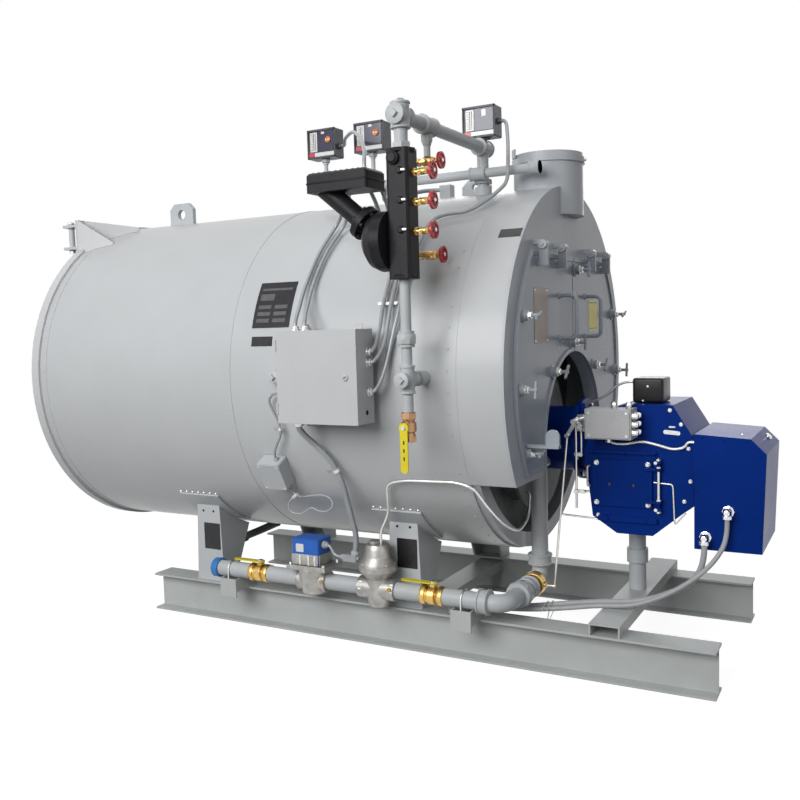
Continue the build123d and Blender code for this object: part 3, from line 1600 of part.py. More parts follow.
motor_x0 = housing_front_x + paint_gap
motor_x1 = skid_rear_x + motor_box_front_from_rear
motor_outline = [
    (motor_x0, motor_box_low_z),
    (motor_x0, motor_box_high_z),
    (motor_x1 - motor_box_bevel, motor_box_high_z - motor_box_top_fall),
    (motor_x1, motor_box_high_z - motor_box_top_fall - motor_box_bevel),
    (motor_x1 - motor_box_rake, motor_box_low_z),
]
motor_depth = 2 * (burner_half_width + motor_box_proud)
save(
    joined(
        plate_part(motor_outline, burner_near_y - motor_box_proud, motor_depth),
        elbow_fitting(skid_rear_x + cord_fitting_one_from_rear, cord_fitting_one_z),
        elbow_fitting(skid_rear_x + cord_fitting_two_from_rear, cord_fitting_two_z),
    ),
    "burner_motor_box",
)

# Control box on the housing, junction box on its near side, and the pipe that carries the burner
save(
    box_part(
        skid_rear_x + control_box_from_rear[0],
        skid_rear_x + control_box_from_rear[1],
        axis_y + control_box_off_axis[0],
        axis_y + control_box_off_axis[1],
        housing_high_z + paint_gap,
        housing_high_z + control_box_height,
    ),
    "burner_control_box",
)
save(
    box_part(
        skid_rear_x + junction_box_from_rear[0],
        skid_rear_x + junction_box_from_rear[1],
        burner_near_y - junction_box_depth,
        burner_near_y - paint_gap,
        junction_box_z[0],
        junction_box_z[1],
    ),
    "burner_junction_box",
)
support_x = skid_rear_x + support_pipe_from_rear
support_union_z = front_channel_top + union_rise
save(
    joined(
        rod_part(
            (support_x, axis_y, front_channel_top), (
                support_x, axis_y, housing_low_z - paint_gap
            ), pipe_two_inch
        ),
        rod_part(
            (support_x, axis_y, support_union_z), (
                support_x, axis_y, support_union_z + union_height
            ), pipe * 1.25
        ),
    ),
    "burner_support_pipe",
)


# Burner linkage: jackshaft in a block on the blast tube, cranks, rods to the damper and the gas butterfly
def link_bar(start, end, y):
    """Flat bar with round ends between two points given from the skid's rear end and the floor."""
    (x0, z0), (x1, z1) = start, end
    length = math.hypot(x1 - x0, z1 - z0)
    middle = (skid_rear_x + (x0 + x1) / 2, (z0 + z1) / 2)
    with BuildPart() as bar:
        with BuildSketch(Plane.XZ.offset(-axis_y - y)):
            with Locations(Location((*middle, 0), (0, 0, math.degrees(math.atan2(z1 - z0, x1 - x0))))):
                SlotCenterToCenter(length, linkage_bar_width)
        extrude(amount=linkage_bar_thickness / 2, both=True)
    return bar.part


def link_rod(start, end, diameter=linkage_rod_diameter):
    return rod_part(along(*start), along(*end), diameter)


shaft_x = jackshaft_from_rear
shaft_z = jackshaft_z
rod_y = -linkage_plane
crank_x = shaft_x + crank_reach
gas_rod_x = shaft_x - gas_crank_reach
gas_rod_y = rod_y - 3 * linkage_bar_thickness
damper_rod_x = shaft_x - linkage_bar_thickness
butterfly_stem_x = gas_elbow_from_rear + butterfly_stem_reach
crank_z = shaft_z - crank_drop
crank_rod_low_z = crank_z - crank_rod_length
with BuildPart() as jackshaft_bearing:
    add(
        box_part(
            skid_rear_x + shaft_x - jackshaft_block / 2,
            skid_rear_x + shaft_x + jackshaft_block / 2,
            axis_y + jackshaft_off_axis[1] - jackshaft_block,
            axis_y + jackshaft_off_axis[1],
            shaft_z - jackshaft_block * 1.5,
            shaft_z + jackshaft_block / 2,
        )
    )
    with BuildSketch(Plane.YZ.offset(skid_rear_x + shaft_x - jackshaft_block)):
        with Locations((axis_y, furnace_z)):
            Circle(blast_tube_radius + paint_gap)
    extrude(amount=2 * jackshaft_block, mode=Mode.SUBTRACT)
save(
    joined(
        jackshaft_bearing.part,
        link_rod(
            (shaft_x, jackshaft_off_axis[0], shaft_z),
            (shaft_x, jackshaft_off_axis[1], shaft_z),
            jackshaft_diameter,
        ),
        link_bar((shaft_x, shaft_z), (crank_x, crank_z), rod_y),
        link_bar((shaft_x, shaft_z), (gas_rod_x, shaft_z - gas_crank_drop), gas_rod_y),
        link_rod((damper_rod_x, rod_y, shaft_z), (damper_rod_x, rod_y, damper_rod_low_z)),
        link_rod((crank_x, rod_y, crank_z), (crank_x, rod_y, crank_rod_low_z)),
        link_bar((damper_rod_x, damper_shaft_z), (housing_rear_from_rear, damper_shaft_z), rod_y),
        link_bar((damper_rod_x, crank_rod_low_z), (crank_x, crank_rod_low_z), rod_y),
        link_rod(
            (
                housing_rear_from_rear - 16, rod_y + 8, damper_shaft_z
            ), (housing_rear_from_rear + 19, rod_y + 8, damper_shaft_z)
        ),
        link_rod(
            (gas_rod_x, gas_rod_y, shaft_z - gas_crank_drop), (butterfly_stem_x, -butterfly_off_axis, gas_z)
        ),
        link_rod(
            (gas_elbow_from_rear + butterfly_radius + paint_gap, -butterfly_off_axis, gas_z),
            (butterfly_stem_x + linkage_rod_diameter / 2, -butterfly_off_axis, gas_z),
        ),
    ),
    "burner_linkage",
)

# Panel conduits: flexible conduits clipped to the shell and the leads to the sensor box and the gas valve
sensor_lead_route = [
    along(944.7, -740, 950),
    along(922, -740, 950),
    along(880, -706, 949),
    along(838, -692, 944),
    along(815, -686, 922),
    along(824, -680, 890),
    along(848, -674, 842),
    along(848, -664, 798),
    along(818, -656, 758),
    along(801, -646.5, 725),
    along(801, -633.8, 702),
]
head_lead_routes = [
    [
        along(1250.3, -732, 1088),
        along(1266, -732, 1088),
        along(1272, -718, 1106),
        along(1266, -676, 1156),
        along(1259, -638, 1236),
        along(1264, -583, 1344),
        along(1264, -600, 1450),
        along(1256, -650, 1560),
        along(1250, -690, 1612),
        along(1250, -714.7, 1612),
    ],
    [
        along(1250.3, -734, 1054),
        along(1270, -734, 1054),
        along(1284, -716, 1076),
        along(1290, -684, 1122),
        along(1289, -640, 1236),
        along(1294, -590, 1334),
        along(1296, -600, 1440),
        along(1292, -650, 1566),
        along(1286, -690, 1624),
        along(1286, -714.7, 1624),
    ],
    [
        along(962, -716, 1162.3),
        along(962, -716, 1186),
    along(956, -696, 1212),
        along(944, -664, 1236),
        along(930, -609, 1303),
        along(937, -513, 1441),
        along(946, -395, 1548),
        along(1020, -480, 1582),
        along(1130, -680, 1612),
        along(1130, -714.7, 1612),
    ],
    [
        along(1000, -716, 1162.3),
        along(1000, -716, 1186),
    along(990, -696, 1212),
        along(976, -664, 1236),
        along(960, -610, 1301),
        along(967, -520, 1434),
        along(984, -408, 1538),
        along(1060, -510, 1572),
        along(1170, -680, 1604),
        along(1170, -714.7, 1604),
    ],
]
third_lead_route = [
    along(1250.3, -730, 960),
    along(1270, -730, 960),
    along(1284, -714, 986),
    along(1294, -690, 1040),
    along(1306, -675, 1113),
    along(1322, -643, 1226),
    along(1330, -567, 1376),
    along(1335, -459, 1498),
    along(1350, -414, 1534),
    along(1390, -399, 1545),
    along(1466, -397, 1546),
    along(1526, -318, 1603),
    along(1551, -250, 1655),
    along(1550, -240, 1722),
    along(1538, -206, 1800),
    along(1518, -166, 1872),
    along(1502, -150, 1888),
    along(1481.3, -150, 1888),
]
first_control_route = [
    along(836.3, -195, 1868),
    along(860, -195, 1868),
    along(904, -262, 1878),
    along(1040, -430, 1862),
    along(1180, -610, 1790),
    along(1266, -736, 1716),
    along(1278, -762, 1684),
    along(1278, -762, 1651.3),
]
crown_route = [
    along(1302, -714.7, 1606),
    along(1302, -680, 1606),
    along(1256, -600, 1586),
    along(1120, -350, 1618),
    along(1080, -110, 1670),
    along(1120, -30, 1690),
    along(1152, 0, 1692),
    along(1176.7, 0, 1692),
]
gas_conduit_route = [
    along(968, -726, 856.7),
    along(968, -726, 832),
    along(972, -700, 806),
    along(988, -662, 770),
    along(1034, -634, 712),
    along(1056, -606, 640),
    along(1050, -510, 420),
    along(1036, -500, 348),
]
conduit_body = box_part(
    skid_rear_x + conduit_body_from_rear[0],
    skid_rear_x + conduit_body_from_rear[1],
    axis_y - 512,
    axis_y - 488,
    conduit_body_z[0],
    conduit_body_z[1],
)
actuator_flex_route = [
    (actuator_x + actuator_width / 2 + paint_gap, axis_y - 500, 372),
    along(928, -500, 372),
    along(948, -500, 335),
    (skid_rear_x + conduit_body_from_rear[0], axis_y - 500, 335),
]
save(
    joined(
        lead_part(sensor_lead_route, sensor_lead_diameter),
        *[lead_part(route, shell_conduit_diameter) for route in head_lead_routes],
        lead_part(third_lead_route, shell_conduit_diameter),
        lead_part(first_control_route, shell_conduit_diameter),
        lead_part(crown_route, crown_conduit_diameter),
        lead_part(gas_conduit_route, gas_conduit_diameter),
        lead_part(actuator_flex_route, actuator_flex_diameter),
        conduit_body,
    ),
    "panel_conduits",
)

# Sensing tube from the regulator's spring housing to the furnace mouth
sensing_route = [
    along(gas_regulator_from_rear + 14, -490, regulator_top_z + paint_gap),
    along(gas_regulator_from_rear + 14, -490, 440),
    along(1182, -502, 512),
    along(1226, -590, 636),
    along(1300, -598, 652),
    along(1400, -599, 654),
    along(1490, -600, 657),
    along(1552, -594, 640),
    along(1574, -548, 576),
    along(1604, -488, 506),
    along(1630, -410, 462),
    along(1622, -290, 486),
    along(1600, -210, 550),
    along(1586, -196, 562),
    along(1566.3, -196, 562),
]
save(lead_part(sensing_route, sensing_tube_diameter), "sensing_tube")

# Burner leads: flexible conduit along the housing's side and the flame scanner's cable
burner_flex_route = [
    along(1884, -206, junction_box_z[0] - paint_gap),
    along(1884, -206, 756),
    along(1900, -186, 745),
    along(1938, -177.5, 744),
    along(1990, -176.5, 756),
    along(2041, -176.5, 745),
    along(2092, -176.5, 731),
    along(2128, -176.5, 738),
    along(2142, -176.5, 758),
    along(housing_front_from_rear, -176.5, 758),
]
scanner_route = [
    along(control_box_from_rear[0] - paint_gap, -80, 950),
    along(1914, -80, 950),
    along(1882, -80, 938),
    along(1852, -80, 908),
    along(1812, -78, 886),
    along(1770, -68, 868),
    along(1752, -60, 839.4),
]
save(
    joined(
        lead_part(burner_flex_route, burner_flex_diameter), lead_part(scanner_route, scanner_cable_diameter)
    ),
    "burner_leads",
)

# Free leads of the burner's motor box, from its elbow fittings over the front channel to the terminal box
motor_cord_one_route = [
    along(cord_fitting_one_from_rear, -206, cord_fitting_one_z - cord_fitting_drop),
    along(cord_fitting_one_from_rear, -206, 464),
    along(2256, -218, 412),
    along(2209, -240, 346),
    along(2110, -256, 268),
    along(1985, -266, 208),
    along(1870, -276, 200.5),
    along(1740, -294, 178),
    along(1630, -318, 167),
    along(1548, -350, 170),
    along(1498, motor_cord_one_end_y, cord_gland_z),
    along(cord_box_from_rear[1] + cord_gland_length, motor_cord_one_end_y, cord_gland_z),
]
motor_cord_two_route = [
    along(cord_fitting_two_from_rear, -206, cord_fitting_two_z - cord_fitting_drop),
    along(cord_fitting_two_from_rear, -206, 362),
    along(2160, -208, 290),
    along(2080, -214, 246),
    along(1985, -224, 211),
    along(1870, -238, 203),
    along(1745, -258, 186),
    along(1640, -282, 171),
    along(1556, -312, 168),
    along(1501, motor_cord_two_end_y, cord_gland_z),
    along(cord_box_from_rear[1] + cord_gland_length, motor_cord_two_end_y, cord_gland_z),
]

# Spare sensor lead: thin cord in a loose loop below the sensor box, with its connector
sensor_cord_route = [
    along(815, -577.7, 600.8),
    along(815, -566.5, 580.6),
    along(831, -565, 562),
    along(868, -571, 561),
    along(912, -578, 571),
    along(958, -580, 576),
    along(992, -582, 568),
    along(1006, -586, 543),
    along(986, -590, 520),
    along(950, -593, 517),
    along(918, -596, 534),
    along(890, -598, 512),
    along(866, -600, 503),
    along(828, -602, 509),
    along(822, -604, 543),
    along(846, -606, 561),
]
for route, diameter, name in (
    (motor_cord_one_route, motor_cord_one_diameter, "motor_box_cord_1"),
    (motor_cord_two_route, motor_cord_two_diameter, "motor_box_cord_2"),
    (sensor_cord_route, sensor_cord_diameter, "sensor_lead_cord"),
):
    lead = lead_part(route, diameter)
    save(lead, name)
    length = lead.volume / (math.pi * diameter**2 / 4)
    print(name, "length", round(length), "bends", [round(radius) for radius in lead_bends(route)])
cord_end = Vector(*sensor_cord_route[-1])
cord_run = (cord_end - Vector(*sensor_cord_route[-2])).normalized()
connector = turned_part(
    tuple(cord_end),
    tuple(cord_run),
    [(0, connector_diameter * 0.35), (6, connector_diameter / 2), (connector_length, connector_diameter / 2)],
)
save(connector, "loop_connector")
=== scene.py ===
import bpy
import bmesh
import math
from mathutils import Matrix, Vector


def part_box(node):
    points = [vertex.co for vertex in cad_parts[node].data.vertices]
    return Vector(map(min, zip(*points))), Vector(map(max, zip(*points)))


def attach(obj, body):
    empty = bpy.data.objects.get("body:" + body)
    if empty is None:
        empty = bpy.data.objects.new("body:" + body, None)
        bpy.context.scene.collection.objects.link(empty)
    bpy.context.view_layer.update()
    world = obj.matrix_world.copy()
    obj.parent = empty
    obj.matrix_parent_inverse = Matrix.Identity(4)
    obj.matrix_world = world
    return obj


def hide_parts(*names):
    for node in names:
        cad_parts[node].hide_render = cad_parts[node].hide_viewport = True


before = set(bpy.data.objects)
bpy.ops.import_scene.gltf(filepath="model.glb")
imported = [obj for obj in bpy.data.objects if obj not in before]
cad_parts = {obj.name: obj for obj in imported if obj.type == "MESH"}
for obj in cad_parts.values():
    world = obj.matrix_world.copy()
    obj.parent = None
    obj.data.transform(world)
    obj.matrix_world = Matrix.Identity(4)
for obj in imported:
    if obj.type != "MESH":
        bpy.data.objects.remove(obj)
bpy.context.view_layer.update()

# Tape measure: a fitter measures this machine along the skid from its rear end, sideways from
# the axis of the shell and up from the floor. Every piece below is placed by such a reading.
skid_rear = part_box("skid_beam_near")[0].x
shell_low, shell_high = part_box("shell_jacket")
shell_axis_y = (shell_low.y + shell_high.y) / 2
shell_axis_z = (shell_low.z + shell_high.z) / 2
shell_radius = (shell_high.y - shell_low.y) / 2
near, far, rearward, forward, upward, downward = (
    Vector(way) for way in ((0, -1, 0), (0, 1, 0), (-1, 0, 0), (1, 0, 0), (0, 0, 1), (0, 0, -1))
)


def at(x, y, z):
    return Vector((skid_rear + x, shell_axis_y + y, z))


# Camera: the photographer stood off the near front corner at head height, with the
# frame tipped slightly down and rolled a degree and a half.
photo_width = 800
focal_pixels = 899.1
camera_place = at(2.7232, -3.2191, 1.1721)
yaw, pitch, roll = (math.radians(degrees) for degrees in (118.64, -4.79, -1.628))
ahead = Vector((math.cos(pitch) * math.cos(yaw), math.cos(pitch) * math.sin(yaw), math.sin(pitch)))
level_right = ahead.cross(upward).normalized()
level_up = level_right.cross(ahead)
right = level_right * math.cos(roll) + level_up * math.sin(roll)
up = level_up * math.cos(roll) - level_right * math.sin(roll)
camera_data = bpy.data.cameras.new("camera")
camera_data.sensor_width = 36.0
camera_data.lens = focal_pixels / photo_width * camera_data.sensor_width
camera = bpy.data.objects.new("camera", camera_data)
camera.matrix_world = Matrix.Translation(camera_place) @ Matrix((right, up, -ahead)).transposed().to_4x4()
bpy.context.scene.collection.objects.link(camera)
bpy.context.scene.camera = camera
bpy.context.scene.view_settings.view_transform = "Standard"

# Studio: white surroundings, a large softbox on the near side, a weak one overhead, one behind
# the machine and two small ones that fill its ends. All are aimed at the middle of the shell.
lamp_aim = Vector((0, 0, 0.9))
for name, place, (width, height), power in (
    ("softbox_near_side", (-0.5, -4.6, 2.7), (3.6, 2.4), 200),
    ("softbox_overhead", (0.1, -0.4, 4.4), (4.5, 3.0), 34),
    ("softbox_burner_end", (4.4, -1.8, 2.4), (1.8, 2.2), 20),
    ("softbox_behind", (-0.5, 4.4, 2.8), (3.4, 2.2), 60),
    ("softbox_rear_end", (-4.6, 0.6, 2.2), (2.4, 2.2), 26),
):
    lamp = bpy.data.lights.new(name, "AREA")
    lamp.shape = "RECTANGLE"
    lamp.size, lamp.size_y, lamp.energy = width, height, power
    holder = bpy.data.objects.new(name, lamp)
    holder.location = place
    holder.rotation_euler = (lamp_aim - Vector(place)).to_track_quat("-Z", "Y").to_euler()
    bpy.context.scene.collection.objects.link(holder)


def set_inputs(tree, node, inputs):
    """Gives each input its value, or links it where the value is another node's socket."""
    for key, value in inputs.items():
        if isinstance(value, bpy.types.NodeSocket):
            tree.links.new(value, node.inputs[key])
        else:
            node.inputs[key].default_value = value


def add_node(tree, kind, inputs=None, **options):
    node = tree.nodes.new("ShaderNode" + kind)
    for option, value in options.items():
        setattr(node, option, value)
    set_inputs(tree, node, inputs or {})
    return node


def seen_by_lens(tree):
    """1 for rays that show the surroundings: to the lens, in reflections and through glass."""
    paths = add_node(tree, "LightPath")
    total = paths.outputs["Is Camera Ray"]
    for ray in ("Is Glossy Ray", "Is Transmission Ray"):
        total = add_node(tree, "Math", {0: total, 1: paths.outputs[ray]}, operation="MAXIMUM").outputs[0]
    return total


white = (1, 1, 1, 1)
world = bpy.data.worlds.new("studio_surroundings")
bpy.context.scene.world = world
world.use_nodes = True
tree = world.node_tree
tree.nodes.clear()
room_light = add_node(tree, "Background", {"Color": (0.95, 0.97, 1.0, 1), "Strength": 0.17})
white_room = add_node(tree, "Background", {"Color": white, "Strength": 1.0})
room = add_node(
    tree, "MixShader", {"Fac": seen_by_lens(tree), 1: room_light.outputs[0], 2: white_room.outputs[0]}
)
add_node(tree, "OutputWorld", {"Surface": room.outputs[0]})


# Floor: a white sheet that keeps the machine's shadow near it and runs out into plain white.
def piece_from(name, build):
    shape = bmesh.new()
    build(shape)
    data = bpy.data.meshes.new(name)
    shape.to_mesh(data)
    shape.free()
    piece = bpy.data.objects.new(name, data)
    bpy.context.scene.collection.objects.link(piece)
    return piece


def floor_sheet(shape):
    reach, drop = 40.0, 0.0005
    corners = ((-reach, -reach), (reach, -reach), (reach, reach), (-reach, reach))
    shape.faces.new([shape.verts.new((x, y, -drop)) for x, y in corners])


shadow_reach, plain_from = 1.5, 3.4
floor = piece_from("studio_floor", floor_sheet)
floor_paint = bpy.data.materials.new("floor_white")
floor_paint.use_nodes = True
tree = floor_paint.node_tree
tree.nodes.clear()
lit = add_node(tree, "BsdfDiffuse", {"Color": (0.26, 0.26, 0.26, 1)})
lift_strength = add_node(tree, "Math", {0: seen_by_lens(tree), 1: 0.9}, operation="MULTIPLY")
lift = add_node(tree, "Emission", {"Color": white, "Strength": lift_strength.outputs[0]})
near_floor = add_node(tree, "AddShader", {0: lit.outputs[0], 1: lift.outputs[0]})
open_floor = add_node(tree, "Emission", {"Color": white, "Strength": seen_by_lens(tree)})
place = add_node(tree, "TexCoord").outputs["Object"]
distance = add_node(tree, "VectorMath", {0: place}, operation="LENGTH")
fade = add_node(
    tree,
    "MapRange",
    {"Value": distance.outputs["Value"], "From Min": shadow_reach, "From Max": plain_from},
    interpolation_type="SMOOTHSTEP",
)
whole_floor = add_node(
    tree, "MixShader", {"Fac": fade.outputs["Result"], 1: near_floor.outputs[0], 2: open_floor.outputs[0]}
)
add_node(tree, "OutputMaterial", {"Surface": whole_floor.outputs[0]})
floor.data.materials.append(floor_paint)


# Motor leads: two liquid-tight grey conduits that hang out of the motor box, lie over the
# front channel and run back to the terminal box on the near beam.
def coloured_surface(name, colour, spread, scale, roughness, metallic=0.0, coat=0.0, shine=0.22):
    """Start of a finish: uneven colour and gloss in soft clouds of the given scale per metre."""
    finish = bpy.data.materials.new(name)
    finish.use_nodes = True
    tree = finish.node_tree
    place = add_node(tree, "TexCoord").outputs["Object"]
    cloud = add_node(tree, "TexNoise", {"Vector": place, "Scale": scale, "Detail": 7.0, "Roughness": 0.62})
    tones = add_node(tree, "ValToRGB", {"Fac": cloud.outputs["Fac"]}, name="tones")
    for end, position, share in ((0, 0.32, 1 - spread), (1, 0.68, 1 + spread)):
        tones.color_ramp.elements[end].position = position
        tones.color_ramp.elements[end].color = (*(min(1.0, c * share) for c in colour), 1)
    gloss_range = {"To Min": max(0.05, roughness - 0.07), "To Max": roughness + 0.09}
    gloss = add_node(tree, "MapRange", {"Value": cloud.outputs["Fac"], **gloss_range})
    values = {
        "Base Color": tones.outputs["Color"],
        "Roughness": gloss.outputs["Result"],
        "Metallic": metallic,
        "Coat Weight": coat,
        "Coat Roughness": 0.16,
        "Specular IOR Level": shine,
    }
    set_inputs(tree, tree.nodes["Principled BSDF"], values)
    return finish


def relief(finish, scale, depth, detail=2.0, stretch=None):
    """Adds bumps of the given scale per metre and depth in metres on top of those already there."""
    tree = finish.node_tree
    normal = tree.nodes["Principled BSDF"].inputs["Normal"]
    place = add_node(tree, "TexCoord").outputs["Object"]
    if stretch:
        place = add_node(tree, "Mapping", {"Vector": place, "Scale": stretch}).outputs["Vector"]
    grain = add_node(tree, "TexNoise", {"Vector": place, "Scale": scale, "Detail": detail})
    bump = add_node(tree, "Bump", {"Height": grain.outputs["Fac"], "Strength": 1.0, "Distance": depth})
    if normal.links:
        tree.links.new(normal.links[0].from_socket, bump.inputs["Normal"])
    tree.links.new(bump.outputs["Normal"], normal)
    return finish


def moulded_sleeve(name, colour, roughness=0.45):
    """Extruded plastic or rubber skin of a cable: nearly even colour and a faint skin texture."""
    return relief(coloured_surface(name, colour, 0.07, 30.0, roughness), 900.0, 0.00006)


def smooth_line(name, skin, points, diameter, roundness, fineness):
    """One smooth round line with the points as the control points of its curve."""
    data = bpy.data.curves.new(name, "CURVE")
    data.dimensions = "3D"
    data.resolution_u = fineness
    data.bevel_depth = diameter / 2
    data.bevel_resolution = roundness
    data.use_fill_caps = True
    spline = data.splines.new("NURBS")
    spline.points.add(len(points) - 1)
    for point, spot in zip(spline.points, points):
        point.co = (*spot, 1)
    spline.order_u = 3
    spline.use_endpoint_u = True
    data.materials.append(skin)
    line = bpy.data.objects.new(name, data)
    bpy.context.scene.collection.objects.link(line)
    return line


def lead_along(name, skin, route, diameter):
    return smooth_line(name, skin, [at(*reading) for reading in route], diameter, 5, 10)


conduit_grey = moulded_sleeve("conduit_skin_grey", (0.4, 0.41, 0.42), 0.38)
small_conduit, large_conduit = 0.016, 0.02
lead_one_route = (
    (2.27, -0.206, 0.514), (2.27, -0.206, 0.464), (2.256, -0.218, 0.412), (2.209, -0.24, 0.346),
    (2.11, -0.256, 0.268), (1.985, -0.266, 0.208), (1.87, -0.276, 0.2005), (1.74, -0.294, 0.178),
    (1.63, -0.318, 0.167), (1.548, -0.35, 0.17), (1.498, -0.374, 0.178), (1.442, -0.374, 0.178),
)
lead_two_route = (
    (2.199, -0.206, 0.424), (2.199, -0.206, 0.362), (2.16, -0.208, 0.29), (2.08, -0.214, 0.246),
    (1.985, -0.224, 0.211), (1.87, -0.238, 0.203), (1.745, -0.258, 0.186), (1.64, -0.282, 0.171),
    (1.556, -0.312, 0.168), (1.501, -0.338, 0.178), (1.442, -0.338, 0.178),
)
motor_lead_one = lead_along("motor_lead_one", conduit_grey, lead_one_route, small_conduit)
motor_lead_two = lead_along("motor_lead_two", conduit_grey, lead_two_route, large_conduit)
for lead, node, route, length, diameter in (
    (motor_lead_one, "motor_box_cord_1", lead_one_route, 1.01, small_conduit),
    (motor_lead_two, "motor_box_cord_2", lead_two_route, 0.89, large_conduit),
):
    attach(lead, "boiler")
    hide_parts(node)

# Spare sensor lead: a thin grey cable out of the sensor box, folded once into a loose loop
# and left hanging, with its round moulded connector.
sensor_lead_diameter = 0.006
sensor_lead_route = (
    (0.815, -0.5777, 0.6008), (0.815, -0.5665, 0.5806), (0.831, -0.565, 0.562), (0.868, -0.571, 0.561),
    (0.912, -0.578, 0.571), (0.958, -0.58, 0.576), (0.992, -0.582, 0.568), (1.006, -0.586, 0.543),
    (0.986, -0.59, 0.52), (0.95, -0.593, 0.517), (0.918, -0.596, 0.534), (0.89, -0.598, 0.512),
    (0.866, -0.6, 0.503), (0.828, -0.602, 0.509), (0.822, -0.604, 0.543), (0.846, -0.606, 0.561),
)
sensor_lead = lead_along("sensor_lead", conduit_grey, sensor_lead_route, sensor_lead_diameter)
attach(sensor_lead, "boiler")
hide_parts("sensor_lead_cord")


def dress(paint, *names):
    for name in names:
        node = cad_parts[name]
        node.data.materials.clear()
        node.data.materials.append(paint)


dress(moulded_sleeve("connector_white", (0.6, 0.61, 0.6), 0.4), "loop_connector")


# Skid: two rolled wide-flange beams with a cross channel in front and a tie channel under the
# shell, shot-blasted, welded and sprayed grey like the rest.
def round_edges(finish, radius):
    """Turns the normals softly round each edge, as paint or a mould does."""
    tree = finish.node_tree
    edge = add_node(tree, "Bevel", {"Radius": radius}, samples=4)
    tree.links.new(edge.outputs["Normal"], tree.nodes["Principled BSDF"].inputs["Normal"])
    return edge.outputs["Normal"]


def sprayed_enamel(
    name, colour, roughness=0.34, spread=0.04, wave=0.0, peel=0.00004, wear=0.35, coat=0.0, shine=0.22
):
    """Machine enamel: soft clouds, fine orange peel, eased edges with the paint thin on them."""
    paint = coloured_surface(name, colour, spread, 4.5, roughness, coat=coat, shine=shine)
    tree = paint.node_tree
    rounded = round_edges(paint, 0.0016)
    if wave:
        relief(paint, 2.6, wave, 1.0)
    relief(paint, 460.0, peel)
    # Where the eased edge turns away from the flat face, the paint is rubbed thin in patches
    flat = add_node(tree, "NewGeometry").outputs["Normal"]
    turn = add_node(tree, "VectorMath", {0: rounded, 1: flat}, operation="DOT_PRODUCT").outputs["Value"]
    rubbed = add_node(tree, "MapRange", {"Value": turn, "From Min": 0.995, "From Max": 0.85})
    place = add_node(tree, "TexCoord").outputs["Object"]
    patchy = add_node(tree, "TexNoise", {"Vector": place, "Scale": 38.0, "Detail": 4.0}).outputs["Fac"]
    patch_range = {"From Min": 0.42, "From Max": 0.72, "To Max": wear}
    amount = add_node(tree, "MapRange", {"Value": patchy, **patch_range})
    rubbed_patches = {0: rubbed.outputs["Result"], 1: amount.outputs["Result"]}
    both = add_node(tree, "Math", rubbed_patches, operation="MULTIPLY")
    worn_colour = (*(min(1.0, 0.35 + 0.55 * c) for c in colour), 1)
    mixed = {0: both.outputs[0], 6: tree.nodes["tones"].outputs["Color"], 7: worn_colour}
    thin = tree.nodes.new("ShaderNodeMix")
    thin.data_type = "RGBA"
    set_inputs(tree, thin, mixed)
    tree.links.new(thin.outputs[2], tree.nodes["Principled BSDF"].inputs["Base Color"])
    return paint


beam_grey = sprayed_enamel("enamel_skid_grey", (0.47, 0.49, 0.48), 0.42, 0.07)
dress(beam_grey, "skid_beam_near", "skid_beam_far", "front_cross_channel", "tie_channel")


def skin_between(shape, rings):
    """Closes a stack of rings of equal count into a solid."""
    shape.faces.new(rings[0][::-1])
    shape.faces.new(rings[-1])
    for low, high in zip(rings, rings[1:]):
        for k in range(len(low)):
            n = (k + 1) % len(low)
            shape.faces.new((low[k], low[n], high[n], high[k]))


def stack_rings(shape, place, out, steps, sides=20, turn=0.0):
    """Closed solid of rings on an axis: steps are (distance along it, radius) pairs."""
    lean = out.to_track_quat("Z", "Y").to_matrix()
    rings = []
    for along, radius in steps:
        ring = []
        for k in range(sides):
            angle = turn + 2 * math.pi * k / sides
            spot = Vector((radius * math.cos(angle), radius * math.sin(angle), along))
            ring.append(shape.verts.new(place + lean @ spot))
        rings.append(ring)
    skin_between(shape, rings)


def add_hex_head(shape, place, out, across, height, washer=True, turn=0.3):
    """Hexagon bolt head or nut with a chamfered top, on a round washer."""
    foot = 0.0
    if washer:
        foot, wide = across * 0.1, across * 0.68
        stack_rings(shape, place, out, [(0, wide), (foot * 0.8, wide), (foot, across * 0.64)], 16)
    radius = across / math.sqrt(3)
    steps = [(foot, radius), (foot + height * 0.8, radius), (foot + height, radius * 0.84)]
    stack_rings(shape, place, out, steps, 6, turn)


def finished(piece, paint, body="boiler", smooth=35.0):
    """Gives a made piece its finish, smooth round faces and its body."""
    piece.data.materials.append(paint)
    piece.data.shade_smooth()
    piece.data.set_sharp_from_angle(angle=math.radians(smooth))
    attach(piece, body)
    return piece


def bolts(name, paint, spots, across=0.016, height=0.009, body="boiler", washer=True):
    def build(shape):
        for number, (place, out) in enumerate(spots):
            add_hex_head(shape, place, out, across, height, washer, 0.3 + 0.7 * number)

    return finished(piece_from(name, build), paint, body, 25.0)


def turnings(name, paint, solids, body="boiler", sides=20):
    """Several turned solids in one piece: (place, direction, steps) or with a number of sides."""

    def build(shape):
        for solid in solids:
            stack_rings(shape, *solid[:3], solid[3] if len(solid) > 3 else sides)

    return finished(piece_from(name, build), paint, body, 40.0)


def stub(radius, shoulder, end=None, end_radius=None):
    """Steps of a short cylinder, narrowed from its shoulder to its end where one is given."""
    return [(0, radius), (shoulder, radius)] + ([(end, end_radius)] if end else [])


def weld_beads(name, paint, seams, radius=0.0035):
    """Fillet welds: thin ropes with an uneven swell from the start to the end of each seam."""

    def build(shape):
        for start, end in seams:
            length = (end - start).length
            count = max(4, int(length / 0.012))
            steps = []
            for k in range(count + 1):
                swell = 1 + 0.18 * math.sin(k * 2.4) + 0.1 * math.sin(k * 5.1)
                steps.append((length * k / count, radius * swell))
            stack_rings(shape, start, (end - start).normalized(), steps, 8)

    return finished(piece_from(name, build), paint)


